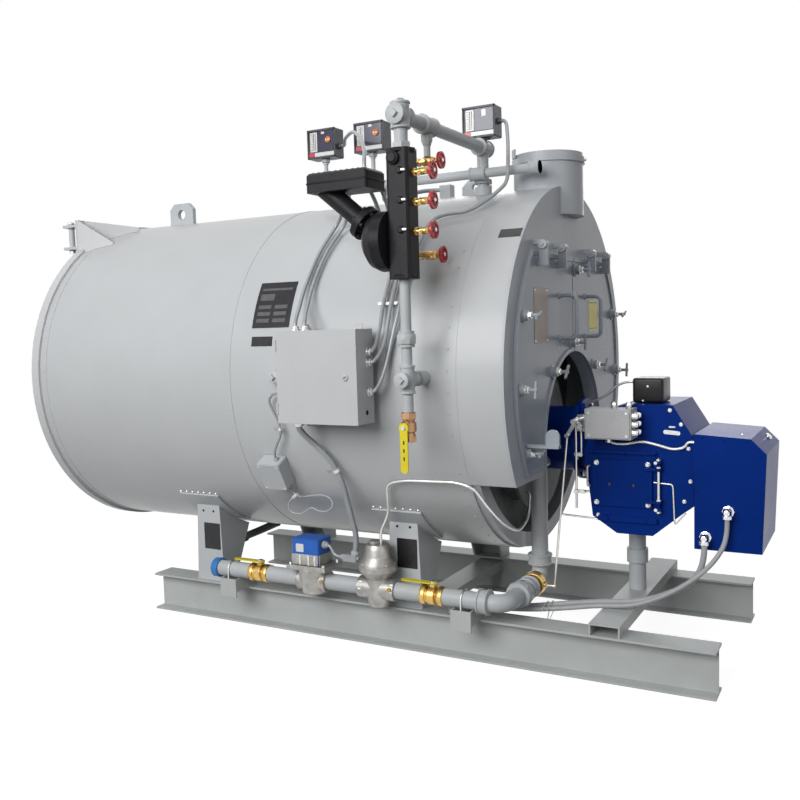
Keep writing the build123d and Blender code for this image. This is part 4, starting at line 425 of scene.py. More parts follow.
plated_colour = coloured_surface("plated_steel", (0.62, 0.62, 0.6), 0.12, 60.0, 0.3, metallic=1.0)
plated = relief(plated_colour, 700.0, 0.00003)
beam_height, near_beam_y, far_beam_y = 0.152, -0.393, 0.393
flange_reach = 0.047
seams = []
for beam_y in (near_beam_y, far_beam_y):
    for x in (1.879, 1.981):
        seams.append((at(x, beam_y - flange_reach, beam_height), at(x, beam_y + flange_reach, beam_height)))
for x in (0.465, 1.462):
    for side in (-0.038, 0.038):
        seams.append((at(x + side, -0.443, beam_height), at(x + side, -0.398, beam_height)))
for x in (1.144, 1.246):
    for y in (-0.389, 0.389):
        seams.append((at(x, y, 0.094), at(x, y, 0.13)))
weld_beads("skid_welds", beam_grey, seams)
terminal_box_screws = [(at(x, y, 0.206), upward) for x in (1.374, 1.414) for y in (-0.412, -0.328)]
bolts("terminal_box_screws", plated, terminal_box_screws, 0.008, 0.004)
terminal_glands = []
for y, size in ((-0.374, 0.92), (-0.338, 0.98)):
    steps = [(along, radius * size) for along, radius in stub(0.0185, 0.014, 0.018, 0.016)]
    terminal_glands.append((at(1.4225, y, 0.178), forward, steps, 6))
turnings("terminal_box_glands", plated, terminal_glands)

# Saddles: folded plate legs welded to curved pads under the jacket and to the beams. Each near
# leg has two bolt holes high up and a black plate, left bare.
plate_grey = sprayed_enamel("enamel_plate_grey", (0.5, 0.52, 0.535), 0.36, 0.035)
dress(plate_grey, "rear_saddles", "front_saddles")


def add_card(shape, centre, across, along, width, height, thickness, corner=0.004):
    """Thin plate with round corners and an eased edge, standing on its centre point."""
    across, along = across.normalized(), along.normalized()
    out = across.cross(along)
    edge = thickness * 0.35
    rings = []
    for lift_by, inset in ((0, 0), (thickness - edge, 0), (thickness, edge)):
        ring = []
        for quarter, (sx, sy) in enumerate(((1, 1), (-1, 1), (-1, -1), (1, -1))):
            for k in range(4):
                angle = math.pi / 2 * (quarter + k / 3)
                x = sx * (width / 2 - corner) + (corner - inset) * math.cos(angle)
                y = sy * (height / 2 - corner) + (corner - inset) * math.sin(angle)
                ring.append(shape.verts.new(centre + across * x + along * y + out * lift_by))
        rings.append(ring)
    skin_between(shape, rings)


def cards(name, paint, list_of_cards, body="boiler"):
    def build(shape):
        for card in list_of_cards:
            add_card(shape, *card)

    return finished(piece_from(name, build), paint, body, 30.0)


label_colour = coloured_surface("label_black", (0.012, 0.012, 0.014), 0.3, 40.0, 0.32, coat=0.3)
label_black = relief(label_colour, 500.0, 0.00003)
# Open holes and slots are thin near-black pieces: painted shade for the dark hollow seen through them.
hole_painted_shade = coloured_surface("open_hole_painted_shade", (0.01, 0.01, 0.01), 0.3, 80.0, 0.8)
saddle_y = -0.421
plate_spots = ((0.305, 0.334), (1.207, 0.35))
plates = [(at(x, saddle_y, z), forward, upward, 0.082, 0.108, 0.0012) for x, z in plate_spots]
cards("saddle_plates", label_black, plates)
holes = []
# The saddle bolt holes are near-black discs, as painted shade inside the folded legs.
for x, z in ((0.29, 0.437), (1.195, 0.447)):
    for side in (-0.026, 0.026):
        holes.append((at(x + side, saddle_y, z), near, stub(0.005, 0.0006)))
turnings("saddle_bolt_holes", hole_painted_shade, holes)
pad_angle, pad_half = math.acos(0.393 / shell_radius), math.radians(9.6)
stitches, foot_seams = [], []
for station in (0.29, 1.195):
    for angle in (pad_angle - pad_half, pad_angle + pad_half):
        out = Vector((0, -math.cos(angle), -math.sin(angle)))
        for k in range(7):
            place = at(station - 0.09 + 0.03 * k, 0, shell_axis_z) + out * shell_radius
            stitches.append((place, out, [(0, 0.0055), (0.002, 0.0045), (0.003, 0.002)], 10))
    for y in (saddle_y, -saddle_y):
        foot_seams.append((at(station - 0.067, y, beam_height), at(station + 0.067, y, beam_height)))
turnings("pad_stitch_welds", plated, stitches)
weld_beads("saddle_foot_welds", plate_grey, foot_seams, 0.004)

# Shell jacket: thin sheet rolled round the insulation, lapped at the seams and riveted, sprayed
# grey. The long sheets are slightly wavy. Three bare black plates sit on its near side.
shell_grey = sprayed_enamel("enamel_shell_grey", (0.5, 0.515, 0.525), 0.3, 0.025, wave=0.0035, coat=0.1)
dress(shell_grey, "shell_jacket", "smokebox_wrapper")


def add_shell_card(shape, x0, x1, low_angle, high_angle, thickness, lift_by=0.0):
    """Plate bent to the jacket between two angles above the horizontal on the near side."""
    steps = 6
    layers = []
    for radius in (shell_radius + lift_by + 0.0002, shell_radius + lift_by + thickness):
        rows = []
        for k in range(steps + 1):
            angle = math.radians(low_angle + (high_angle - low_angle) * k / steps)
            y, z = -radius * math.cos(angle), shell_axis_z + radius * math.sin(angle)
            rows.append([shape.verts.new(at(x, y, z)) for x in (x0, x1)])
        layers.append(rows)
    low, high = layers
    for k in range(steps):
        shape.faces.new((high[k][0], high[k][1], high[k + 1][1], high[k + 1][0]))
        shape.faces.new((low[k][0], low[k + 1][0], low[k + 1][1], low[k][1]))
        shape.faces.new((low[k][0], high[k][0], high[k + 1][0], low[k + 1][0]))
        shape.faces.new((low[k][1], low[k + 1][1], high[k + 1][1], high[k][1]))
    shape.faces.new((low[0][0], low[0][1], high[0][1], high[0][0]))
    shape.faces.new((low[-1][0], high[-1][0], high[-1][1], low[-1][1]))


def shell_cards(name, paint, sheets):
    def build(shape):
        for sheet in sheets:
            add_shell_card(shape, *sheet)

    return finished(piece_from(name, build), paint)


bare_plates = [
    (0.72, 0.88, 16.3, 31.5, 0.0016),
    (0.725, 0.815, 10.6, 13.6, 0.0012),
    (1.607, 1.683, 43.2, 46.6, 0.0012),
]
shell_cards("shell_plates", label_black, bare_plates)
print_grey = coloured_surface("plate_print_grey", (0.11, 0.11, 0.115), 0.2, 60.0, 0.4)
print_thickness, print_lift = 0.0003, 0.0017
fields = [(0.735, 0.865, 28.6, 29.4), (0.735, 0.795, 25.2, 27.4)]
for row in range(3):
    for x in (0.735, 0.805):
        fields.append((x, x + 0.055, 18.0 + 2.2 * row, 19.2 + 2.2 * row))
printed_fields = [(*field, print_thickness, print_lift) for field in fields]
shell_cards("shell_plate_fields", print_grey, printed_fields)
rivets_a_ring = 60
rivets = []
for x in (-0.34, 0.62, 1.5):
    for k in range(rivets_a_ring):
        angle = 2 * math.pi * (k + 0.5) / rivets_a_ring
        out = Vector((0, math.cos(angle), math.sin(angle)))
        if x > 1.4 and out.z > 0.7:
            continue
        place = at(x, 0, shell_axis_z) + out * shell_radius
        rivets.append((place, out, [(0, 0.004), (0.0012, 0.0036), (0.002, 0.002)], 8))
turnings("jacket_rivets", shell_grey, rivets)


def seam_straps(shape):
    """Lap of the jacket's sheets: a flat band that stands a millimetre proud all round."""
    sides, skin, proud = 128, shell_radius + 0.0002, shell_radius + 0.0012
    for x0, x1 in ((-0.352, -0.328), (0.608, 0.632)):
        rings = []
        for x, radius in ((x0, skin), (x0 + 0.0006, proud), (x1, proud), (x1 + 0.0004, skin)):
            ring = []
            for k in range(sides):
                angle = 2 * math.pi * k / sides
                y, z = radius * math.cos(angle), radius * math.sin(angle)
                ring.append(shape.verts.new(at(x, y, shell_axis_z + z)))
            rings.append(ring)
        for low, high in zip(rings, [*rings[1:], rings[0]]):
            for k in range(sides):
                n = (k + 1) % sides
                shape.faces.new((low[k], low[n], high[n], high[k]))


finished(piece_from("jacket_seams", seam_straps), shell_grey)


# Rear head: dished cover bolted on a flanged ring at the back of the shell, with the davit
# bracket that swings it aside.
def on_circle(centre, first, second, radius, count, start=0.0):
    """Points evenly spaced on a circle in the plane of two directions."""
    angles = [math.tau * (k + start) / count for k in range(count)]
    return [centre + (first * math.cos(angle) + second * math.sin(angle)) * radius for angle in angles]


head_grey = sprayed_enamel("enamel_head_grey", (0.56, 0.565, 0.575), 0.34, 0.03)
dress(head_grey, "rear_head", "rear_davit_bracket")
cover_spots = on_circle(at(-0.404, 0, shell_axis_z), far, upward, 0.622, 24)
bolts("rear_cover_bolts", head_grey, [(spot, rearward) for spot in cover_spots], 0.024, 0.014)
pin_x, pin_y = -0.457, -0.374
pin_caps = [
    (at(pin_x, pin_y, 1.6535), upward, stub(0.018, 0.004, 0.008, 0.012)),
    (at(pin_x, pin_y, 1.533), downward, stub(0.016, 0.006, 0.008, 0.013)),
]
turnings("davit_pin_caps", plated, pin_caps)

# Smokebox front: plate with an arch over the burner, bolted ring behind it, and the tubesheet
# with soot on it inside.
front_grey = sprayed_enamel("enamel_front_grey", (0.47, 0.49, 0.515), 0.34, 0.04)
dress(front_grey, "smokebox_front_plate", "front_ring_flange", "door_hinge_brackets", "flue_outlet")
soot_colour = coloured_surface("tubesheet_sooty_grey", (0.2, 0.205, 0.205), 0.3, 14.0, 0.6)
dress(relief(soot_colour, 120.0, 0.0004), "front_tubesheet")
front_x, bracket_z = 1.69, 1.436
bracket_ys = (-0.37, -0.175, 0.175, 0.37)
bracket_seams = [(at(front_x, y - 0.014, bracket_z), at(front_x, y + 0.014, bracket_z)) for y in bracket_ys]
weld_beads("hinge_bracket_welds", front_grey, bracket_seams, 0.003)

# Flue outlet: rolled stub with a lip, one bolt in front and a small lug at the back of the lip
# for the vent connector's clamp.
flue_bolts = [(at(1.7445, 0.012, 1.7475), forward), (at(1.486, -0.056, 1.733), rearward)]
bolts("flue_bolt", plated, flue_bolts, 0.012, 0.007)
lug = (at(1.515, -0.088, 1.776), Vector((0.66, -0.75, 0)), upward, 0.03, 0.034, 0.005)
cards("flue_clamp_lug", front_grey, [lug])

# Front doors: two flanged plates hung from pins along the top, pulled shut by swivel clamps.
# They are the same enamel as the rest, painted darker and bluer here as painted shade at the burner's end.
door_grey_painted_shade = sprayed_enamel("enamel_door_grey_painted_shade", (0.34, 0.37, 0.41), 0.28, 0.05, wave=0.002, coat=0.06)
dress(door_grey_painted_shade, "left_front_door", "right_front_door")
door_x, door_radius, arch_radius, furnace_z = 1.6983, 0.556, 0.355, 0.735
clamp_block, handle_off = 0.0202, 0.15
arch_corner = math.radians(47)
for side, body, name in ((-1, "left_door", "left"), (1, "right_door", "right")):
    clamps = []
    for degrees in (21.4, -3.2, -25.6):
        angle = math.radians(degrees)
        clamps.append((side * door_radius * math.cos(angle), shell_axis_z + door_radius * math.sin(angle)))
    corner_y, corner_z = arch_radius * math.cos(arch_corner), arch_radius * math.sin(arch_corner)
    clamps.append((side * corner_y, furnace_z + corner_z))
    clamps.append((-0.028, furnace_z + arch_radius) if side < 0 else (0.028, 1.354))
    nuts = [(at(door_x + clamp_block, y, z), forward) for y, z in clamps]
    bolts(f"{name}_door_clamp_nuts", plated, nuts, 0.021, 0.01, body)
    washers = [(at(door_x, y, z), forward, stub(0.023, 0.004, 0.006, 0.02)) for y, z in clamps]
    turnings(f"{name}_door_clamp_washers", door_grey_painted_shade, washers, body)
    feet = []
    for z in (1.108, 1.258):
        foot_steps = [(0, 0.013), (0.003, 0.012), (0.006, 0.0085)]
        feet.append((at(door_x, side * handle_off, z), forward, foot_steps))
    turnings(f"{name}_door_handle_feet", door_grey_painted_shade, feet, body)
bronze_colour = coloured_surface("door_plate_bronze", (0.19, 0.16, 0.14), 0.22, 9.0, 0.36, metallic=0.6)
bronze_plate = relief(bronze_colour, 240.0, 0.00008, stretch=(1, 1, 14))
yellow_colour = coloured_surface("label_yellow", (0.72, 0.6, 0.03), 0.08, 30.0, 0.38, coat=0.2)
label_yellow = relief(yellow_colour, 300.0, 0.00003)
plate_centre, label_centre = at(door_x, -0.3435, 1.189), at(door_x, 0.258, 1.1865)
cards("left_door_plate", bronze_plate, [(plate_centre, far, upward, 0.133, 0.184, 0.0016)], "left_door")


def at_corners(centre, first, second, first_half, second_half):
    """The four corners of a rectangle about a centre."""
    return [centre + first * (a * first_half) + second * (b * second_half) for a in (-1, 1) for b in (-1, 1)]


plate_rivets = []
for spot in at_corners(plate_centre + forward * 0.0016, far, upward, 0.059, 0.084):
    plate_rivets.append((spot, forward, [(0, 0.003), (0.001, 0.0026), (0.0016, 0.001)], 10))
turnings("left_door_plate_rivets", plated, plate_rivets, "left_door")
cards("right_door_label", label_yellow, [(label_centre, far, upward, 0.116, 0.123, 0.0006)], "right_door")
bands = [(at(door_x + 0.0006, 0.258, z), far, upward, 0.104, 0.006, 0.0002, 0.001) for z in (1.236, 1.137)]
cards("right_door_label_bands", label_black, bands, "right_door")

# Lifting lugs and couplings on the shell: flame-cut plates and forged half couplings, welded
# on before painting.
dress(plate_grey, "lifting_lugs", "shell_fittings")
weld_z = shell_axis_z + shell_radius + 0.001
lug_seams = []
for x, half in ((-0.145, 0.066), (1.327, 0.056), (1.2, 0.022)):
    for y in (-0.0105, 0.0105):
        lug_seams.append((at(x - half, y, weld_z), at(x + half, y, weld_z)))
weld_beads("lug_welds", shell_grey, lug_seams, 0.004)
plug_head = [
    (at(0.85, -0.699, 1.002), near, stub(0.021, 0.003, 0.004, 0.019)),
    (at(0.85, -0.703, 1.002), near, [(0, 0.011), (0.01, 0.0105)], 4),
]
turnings("shell_plug_head", plate_grey, plug_head)

# Control panel: folded sheet box on four standoffs, with a hinged door and a coin-slot latch.
# Conduit hubs enter its right wall, its bottom and its top.
panel_grey = sprayed_enamel("enamel_panel_grey", (0.5, 0.51, 0.52), 0.4, 0.03, peel=0.00009)
dress(panel_grey, "control_panel_box", "control_panel_door")
dress(plate_grey, "sensor_junction_box")
slot_way, slot_up = Vector((1, 0, 0.5)), Vector((-0.5, 0, 1))
# The latch slot is a near-black card, as painted shade in the slot.
latch_slot = (at(1.208, -0.8077, 1.0095), slot_way, slot_up, 0.013, 0.0028, 0.0004, 0.0008)
cards("panel_latch_slot", hole_painted_shade, [latch_slot], "panel_door")
tabs = [(at(x, -0.6975, z), forward, upward, 0.03, 0.026, 0.002) for x in (1.0, 1.2) for z in (1.168, 0.851)]
cards("panel_back_tabs", panel_grey, tabs)
panel_rear, panel_front, panel_low, panel_high = 0.945, 1.25, 0.857, 1.162
hub_steps = [(0, 0.017), (0.004, 0.017), (0.005, 0.0125), (0.012, 0.0125), (0.015, 0.0095)]
hubs = []
for place, out, size in (
    (at(panel_front, -0.732, 1.088), forward, 1), (at(panel_front, -0.734, 1.054), forward, 1),
    (at(panel_front, -0.73, 0.96), forward, 1), (at(0.962, -0.716, panel_high), upward, 1),
    (at(1.0, -0.716, panel_high), upward, 1), (at(0.968, -0.726, panel_low), downward, 1.3),
    (at(panel_rear, -0.74, 0.95), rearward, 0.8),
):
    hubs.append((place, out, [(along * size, radius * size) for along, radius in hub_steps]))
turnings("panel_conduit_hubs", plated, hubs)
# The spare hole is a near-black disc, as painted shade inside the box.
turnings("panel_spare_hole", hole_painted_shade, [(at(panel_front, -0.744, 0.893), forward, stub(0.008, 0.0006))])

# Sensor junction box: small painted box tangent to the jacket, with a lid on four screws and a
# gland at each end.
lean = math.radians(29)
box_out = Vector((0, -math.cos(lean), -math.sin(lean)))
box_up = Vector((0, -math.sin(lean), math.cos(lean)))
lid_centre = at(0.775, 0, shell_axis_z) + box_out * (shell_radius + 0.0555)
cards("sensor_box_lid", plate_grey, [(lid_centre, forward, box_up, 0.098, 0.113, 0.003, 0.008)])
lid_screws = []
for spot in at_corners(lid_centre + box_out * 0.003, forward, box_up, 0.04, 0.047):
    lid_screws.append((spot, box_out, [(0, 0.0035), (0.0016, 0.0032)], 12))
turnings("sensor_box_screws", plated, lid_screws)
box_glands = [
    (at(0.801, -0.6338, 0.702) - box_up * 0.001, box_up, stub(0.0095, 0.008, 0.012, 0.0065), 12),
    (at(0.815, -0.5777, 0.6008) + box_up * 0.001, -box_up, stub(0.0085, 0.008, 0.016, 0.0045), 12),
]
turnings("sensor_box_glands", conduit_grey, box_glands)


# Water column, float chamber and switch head: black iron castings, bolted at the neck, with a
# ribbed die-cast lid on the head.
def cast_skin(name, colour, roughness=0.44, metallic=0.0, coat=0.0, grain=0.00045, shine=0.22):
    """Sand-cast surface: pebbled skin, blurred edges and tone that varies in soft clouds."""
    skin = coloured_surface(name, colour, 0.25, 28.0, roughness, metallic, coat, shine)
    round_edges(skin, 0.003)
    relief(skin, 130.0, grain, 3.0)
    return relief(skin, 18.0, 0.0012, 1.0)


iron_black = cast_skin("cast_iron_black", (0.012, 0.012, 0.014), 0.38, shine=0.14)
dress(iron_black, "water_column", "float_chamber", "float_switch_head")
column_x, column_y, column_half = 1.417, -0.775, 0.0375
cock_heights = (1.452, 1.54, 1.628)
stud_y = column_y - column_half
studs, bosses = [], []
for z in cock_heights:
    stud_place = at(column_x + 0.008, stud_y - 0.004, z + 0.004)
    studs.append((stud_place, forward, stub(0.005, 0.02, 0.024, 0.0038), 12))
    boss_steps = [(0, 0.012), (0.006, 0.011), (0.01, 0.008)]
    bosses.append((at(column_x + 0.012, stud_y + 0.001, z + 0.004), near, boss_steps, 16))
for z, way in ((1.3097, upward), (1.7003, downward)):
    bosses.append((at(column_x, column_y, z), way, stub(0.046, 0.01, 0.014, 0.042), 8))
turnings("column_stud_heads", plated, studs)
turnings("column_stud_bosses", iron_black, bosses)
neck_turn = math.radians(39.2)
neck_way = Vector((-math.cos(neck_turn), 0, math.sin(neck_turn)))
neck_side = Vector((math.sin(neck_turn), 0, math.cos(neck_turn)))
flange_spots = []
for spot in on_circle(at(1.2835, column_y, 1.4895), neck_side, near, 0.0445, 6, 0.5):
    flange_spots += [(spot + way * 0.0112, way) for way in (neck_way, -neck_way)]
bolts("neck_flange_bolts", iron_black, flange_spots, 0.013, 0.008)
rib_pitch, rib_count = 0.0206, 9
ribs = []
for k in range(rib_count):
    place = at(1.125 + rib_pitch * k, column_y, 1.6505)
    ribs.append((place, forward, far, 0.005, 0.094, 0.0035, 0.0015))
cards("switch_head_ribs", iron_black, ribs)
lid_lip = (at(1.2155, column_y, 1.617), forward, far, 0.226, 0.125, 0.005, 0.012)
cards("switch_head_lid_lip", iron_black, [lid_lip])
head_screws = [(at(x, column_y + y, 1.643), upward) for x in (1.116, 1.3155) for y in (-0.05, 0.05)]
bolts("switch_head_screws", plated, head_screws, 0.007, 0.006, washer=False)
head_hubs = []
for x, z in ((1.25, 1.612), (1.286, 1.624), (1.13, 1.612), (1.17, 1.604)):
    head_hubs.append((at(x, -0.7147, z), far, stub(0.0115, 0.008, 0.013, 0.0085), 12))
head_hubs.append((at(1.302, -0.7147, 1.606), far, stub(0.013, 0.008, 0.013, 0.01), 12))
head_hubs.append((at(1.278, -0.762, 1.6505), upward, stub(0.012, 0.008, 0.014, 0.009), 12))
turnings("switch_head_hubs", plated, head_hubs)

# Steam piping: painted black-iron pipe with malleable fittings. Each fitting has a rolled band
# at its mouths, and the spare mouths are closed by square-headed plugs.
pipe_grey = sprayed_enamel("enamel_pipe_grey", (0.47, 0.49, 0.5), 0.34, 0.05, peel=0.00012)
dress(pipe_grey, "steam_piping", "lower_water_pipe", "gas_pipe", "gas_riser_pipe", "burner_support_pipe")
cross_z, manifold_y, manifold_z, gauge_y, riser_y = 1.8, -0.1945, 1.703, -0.6, -0.15
cross_reach, cross_radius, tee_radius, band_width = 0.036, 0.0285, 0.0225, 0.009


def band(place, way, radius, width=band_width):
    """Rolled band at a fitting's mouth, reaching back from the mouth."""
    steps = [(0, 0.97), (width * 0.2, 1.1), (width * 0.8, 1.1), (width, 1.03)]
    return place - way * width, way, [(along, radius * share) for along, share in steps], 28


bands = []
for y in (column_y, gauge_y, riser_y):
    for side in (-cross_reach, cross_reach):
        bands.append(band(at(column_x, y + side + band_width / 2, cross_z), far, cross_radius))
for side in (-cross_reach, cross_reach):
    bands.append(band(at(column_x, column_y, cross_z + side + band_width / 2), upward, cross_radius))
for x in (0.772, 0.985, column_x):
    for side in (-0.027, 0.027):
        bands.append(band(at(x + side + band_width / 2, manifold_y, manifold_z), forward, tee_radius))
for x in (1.6185, 1.65):
    bands.append(band(at(x, manifold_y, manifold_z), forward, tee_radius))
turnings("steam_fitting_bands", pipe_grey, bands)
plugs = []
for mouth_y, way in ((column_y, near), (column_y, upward), (riser_y, far)):
    mouth = at(column_x, mouth_y, cross_z) + way * cross_reach
    plugs.append((mouth, way, [(0, 0.0235), (0.003, 0.023)]))
    plugs.append((mouth + way * 0.003, way, [(0, 0.0135), (0.011, 0.013)], 4))
turnings("steam_fitting_plugs", pipe_grey, plugs)
hexagons = [
    (at(column_x, column_y, 1.7005), upward, stub(0.03, 0.018, 0.021, 0.027), 6),
    (at(column_x, gauge_y, 1.772), downward, [(0, 0.02), (0.022, 0.019), (0.034, 0.0135)], 8),
    (at(column_x, riser_y, 1.672), upward, stub(0.034, 0.012, 0.016, 0.03), 8),
]
for x in (0.772, 0.985):
    hexagons.append((at(x, manifold_y, 1.728), upward, [(0, 0.014), (0.016, 0.013), (0.02, 0.009)], 6))
turnings("steam_hexagons", pipe_grey, hexagons)

# Pressure controls: small cast cases with a glazed front. Behind the glass are a white scale with
# black marks, a dark blue panel and a white band with a red corner, all without words.
case_dark = cast_skin("control_case_dark", (0.06, 0.062, 0.07), 0.4, metallic=0.3, coat=0.1, grain=0.0001)
dress(case_dark, "pressure_controls")


def glazed_print(name, colour, spread, scale, roughness, coat, depth=0.00002):
    return relief(coloured_surface(name, colour, spread, scale, roughness, coat=coat), 300.0, depth)


scale_white = glazed_print("scale_white", (0.7, 0.7, 0.69), 0.04, 60.0, 0.2, 0.6)
panel_navy = glazed_print("dial_panel_navy", (0.016, 0.016, 0.055), 0.25, 50.0, 0.18, 0.8, 0.00003)
corner_red = glazed_print("corner_red", (0.55, 0.06, 0.09), 0.1, 60.0, 0.25, 0.5)
copper_colour = coloured_surface("knob_copper", (0.5, 0.2, 0.1), 0.2, 80.0, 0.3, metallic=0.8)
knob_copper = relief(copper_colour, 400.0, 0.00004)
frame_depth, marks_on_scale = 0.004, 11
for name, x, y, z in (
    ("first", 0.772, -0.2245, 1.881), ("second", 0.985, -0.2245, 1.881), ("third", 1.417, -0.18, 1.888)
):
    face = at(x, y, z)

    def on_face(across, rise, width, height, thickness, corner=0.002, lift_by=0.0):
        """Card on the glazed front, placed from its middle."""
        centre = face + forward * across + upward * rise + near * lift_by
        return centre, forward, upward, width, height, thickness, corner

    frame_bars = [
        on_face(0, 0.0515, 0.128, 0.009, frame_depth), on_face(0, -0.0525, 0.128, 0.007, frame_depth),
        on_face(-0.061, 0, 0.006, 0.112, frame_depth), on_face(0.061, 0, 0.006, 0.112, frame_depth),
    ]
    cards(f"{name}_control_frame", case_dark, frame_bars)
    cards(f"{name}_control_scale", scale_white, [on_face(-0.035, 0.008, 0.032, 0.074, 0.0012)])
    marks = []
    for k in range(marks_on_scale):
        long_mark = k % 2 == 0
        across, width = (-0.041, 0.013) if long_mark else (-0.04, 0.009)
        marks.append(on_face(across, -0.022 + 0.006 * k, width, 0.0012, 0.0003, 0.0004, 0.0012))
    marks += [on_face(across, 0.008, 0.0022, 0.064, 0.0004, 0.0008, 0.0012) for across in (-0.034, -0.027)]
    cards(f"{name}_control_marks", label_black, marks)
    cards(f"{name}_control_panel", panel_navy, [on_face(0.0195, 0.008, 0.073, 0.078, 0.0016)])
    cards(f"{name}_control_band", scale_white, [on_face(0.013, -0.0405, 0.088, 0.015, 0.0014)])
    cards(f"{name}_control_corner", corner_red, [on_face(-0.044, -0.0395, 0.026, 0.017, 0.0014)])
    if name == "third":
        tab = on_face(0.02, 0.03, 0.017, 0.024, 0.0006, 0.003, 0.0016)
    else:
        knob_steps = [(0, 0.012), (0.0035, 0.012), (0.0045, 0.01), (0.003, 0.006), (0.0036, 0.005)]
        knob_place = face + Vector((0.032, -0.0016, 0.012))
        turnings(f"{name}_control_knob", knob_copper, [(knob_place, near, knob_steps, 24)])
        tab = on_face(0.008, 0.04, 0.015, 0.009, 0.0006, 0.002, 0.0016)
    cards(f"{name}_control_tab", scale_white, [tab])
sockets = []
for x in (0.772, 0.985):
    steps = [(0, 0.018), (0.012, 0.018), (0.014, 0.012), (0.02, 0.012)]
    sockets.append((at(x, manifold_y, 1.8245), downward, steps, 6))
sockets.append((at(1.417, riser_y, 1.8315), downward, stub(0.02, 0.004, 0.005, 0.0155), 6))
turnings("control_sockets", pipe_grey, sockets)
lead_hubs = []
for x, y, z in ((0.836, manifold_y, 1.868), (1.481, riser_y, 1.888)):
    lead_hubs.append((at(x, y, z), forward, stub(0.012, 0.007, 0.012, 0.009), 12))
turnings("control_lead_hubs", case_dark, lead_hubs)

# Try cocks and gauge valves: brass bodies with hexagon bonnets and red cast handwheels on
# steel spindles.
brass = cast_skin("valve_brass", (0.55, 0.37, 0.14), 0.3, metallic=1.0, grain=0.00012)
wheel_red = cast_skin("handwheel_red", (0.5, 0.02, 0.025), 0.34, coat=0.4, grain=0.0001)
dress(brass, "water_trim_valves")
gauge_heights = {"low": 1.392, "high": 1.688}
cock_face = column_x + column_half
wheel_spots = {}
for k, z in enumerate(cock_heights):
    wheel_spots[f"try_cock_wheel_{k + 1}"] = (cock_face + 0.0663, column_y, z)
for level, z in gauge_heights.items():
    wheel_spots[f"gauge_wheel_{level}"] = (column_x + 0.048, gauge_y, z)
for name, (x, y, z) in wheel_spots.items():
    dress(wheel_red, name)
    wheel_nut = (at(x + 0.0042, y, z), forward, stub(0.0066, 0.003, 0.004, 0.0056), 6)
    turnings(f"{name}_nut", plated, [wheel_nut], name)
bonnets = []
for z in cock_heights:
    start = at(cock_face + 0.0003, column_y, z)
    bonnets.append((start, forward, stub(0.0135, 0.008, 0.009, 0.0115), 6))
    bonnets.append((start + forward * 0.041, forward, stub(0.0115, 0.009, 0.011, 0.009), 6))
for z in gauge_heights.values():
    start = at(column_x - 0.034, gauge_y, z)
    bonnets.append((start - forward * 0.001, forward, stub(0.014, 0.009, 0.01, 0.012), 6))
    bonnets.append((start + forward * 0.05, forward, stub(0.0135, 0.01, 0.013, 0.01), 6))
    bonnets.append((start + forward * 0.031, near, [(0.006, 0.008), (0.022, 0.008), (0.026, 0.006)], 8))
turnings("valve_bonnets", brass, bonnets)

# Lower water connection: pipe with a union and a tee into the shell, then the bronze ball valve
# of the blowdown with its yellow dipped lever.
lower_tee_z = 1.002
lower_fittings = [
    (at(column_x, column_y, 1.112), upward, [(0, 0.03), (0.003, 0.031), (0.026, 0.031), (0.03, 0.028)], 8),
    band(at(column_x, column_y, 0.9665), upward, tee_radius),
    band(at(column_x, column_y, 1.0465), upward, tee_radius),
    band(at(column_x, column_y - 0.036, lower_tee_z), far, tee_radius),
    band(at(column_x, column_y + 0.0425, lower_tee_z), far, tee_radius),
    (at(column_x, column_y - 0.04, lower_tee_z), near, [(0, 0.021), (0.003, 0.02)]),
    (at(column_x, column_y - 0.043, lower_tee_z), near, [(0, 0.012), (0.009, 0.0115)], 4),
    band(at(column_x, -0.7, lower_tee_z), far, tee_radius, 0.012),
]
turnings("lower_pipe_fittings", pipe_grey, lower_fittings)
bronze = cast_skin("valve_bronze", (0.4, 0.24, 0.13), 0.38, metallic=1.0, grain=0.0003)
gas_brass = cast_skin("gas_cock_brass", (0.6, 0.4, 0.13), 0.28, metallic=1.0, grain=0.0002)
dipped_colour = coloured_surface("dipped_yellow", (0.72, 0.6, 0.02), 0.08, 26.0, 0.36, coat=0.3)
dress(bronze, "blowdown_valve")
dress(gas_brass, "gas_cock_1", "gas_cock_2")
dress(relief(dipped_colour, 160.0, 0.00015), "blowdown_lever", "gas_lever_1", "gas_lever_2")
blowdown_z = 0.855
gas_y, gas_z = -0.49, 0.232
cock_stations = (0.6, 1.344)
mouths = [(at(column_x, column_y, z), upward, stub(0.0255, 0.018, 0.02, 0.023), 6) for z in (0.81, 0.881)]
turnings("blowdown_hexagons", bronze, mouths)
for name, spot, out, radius in (
    ("blowdown_stem_nut", at(column_x, column_y - 0.0364, blowdown_z), near, 0.0075),
    ("gas_stem_nut_one", at(cock_stations[0], gas_y, gas_z + 0.0464), upward, 0.0105),
    ("gas_stem_nut_two", at(cock_stations[1], gas_y, gas_z + 0.0464), upward, 0.0105),
):
    turnings(name, plated, [(spot, out, stub(radius, 0.004, 0.005, radius * 0.85), 6)])
dark_marks = []
for drop in (0.045, 0.07, 0.095):
    place = at(column_x, column_y - 0.0361, blowdown_z - drop)
    dark_marks.append((place, forward, upward, 0.005, 0.012, 0.0003, 0.002))
cards("blowdown_lever_marks", label_black, dark_marks, "blowdown_lever")

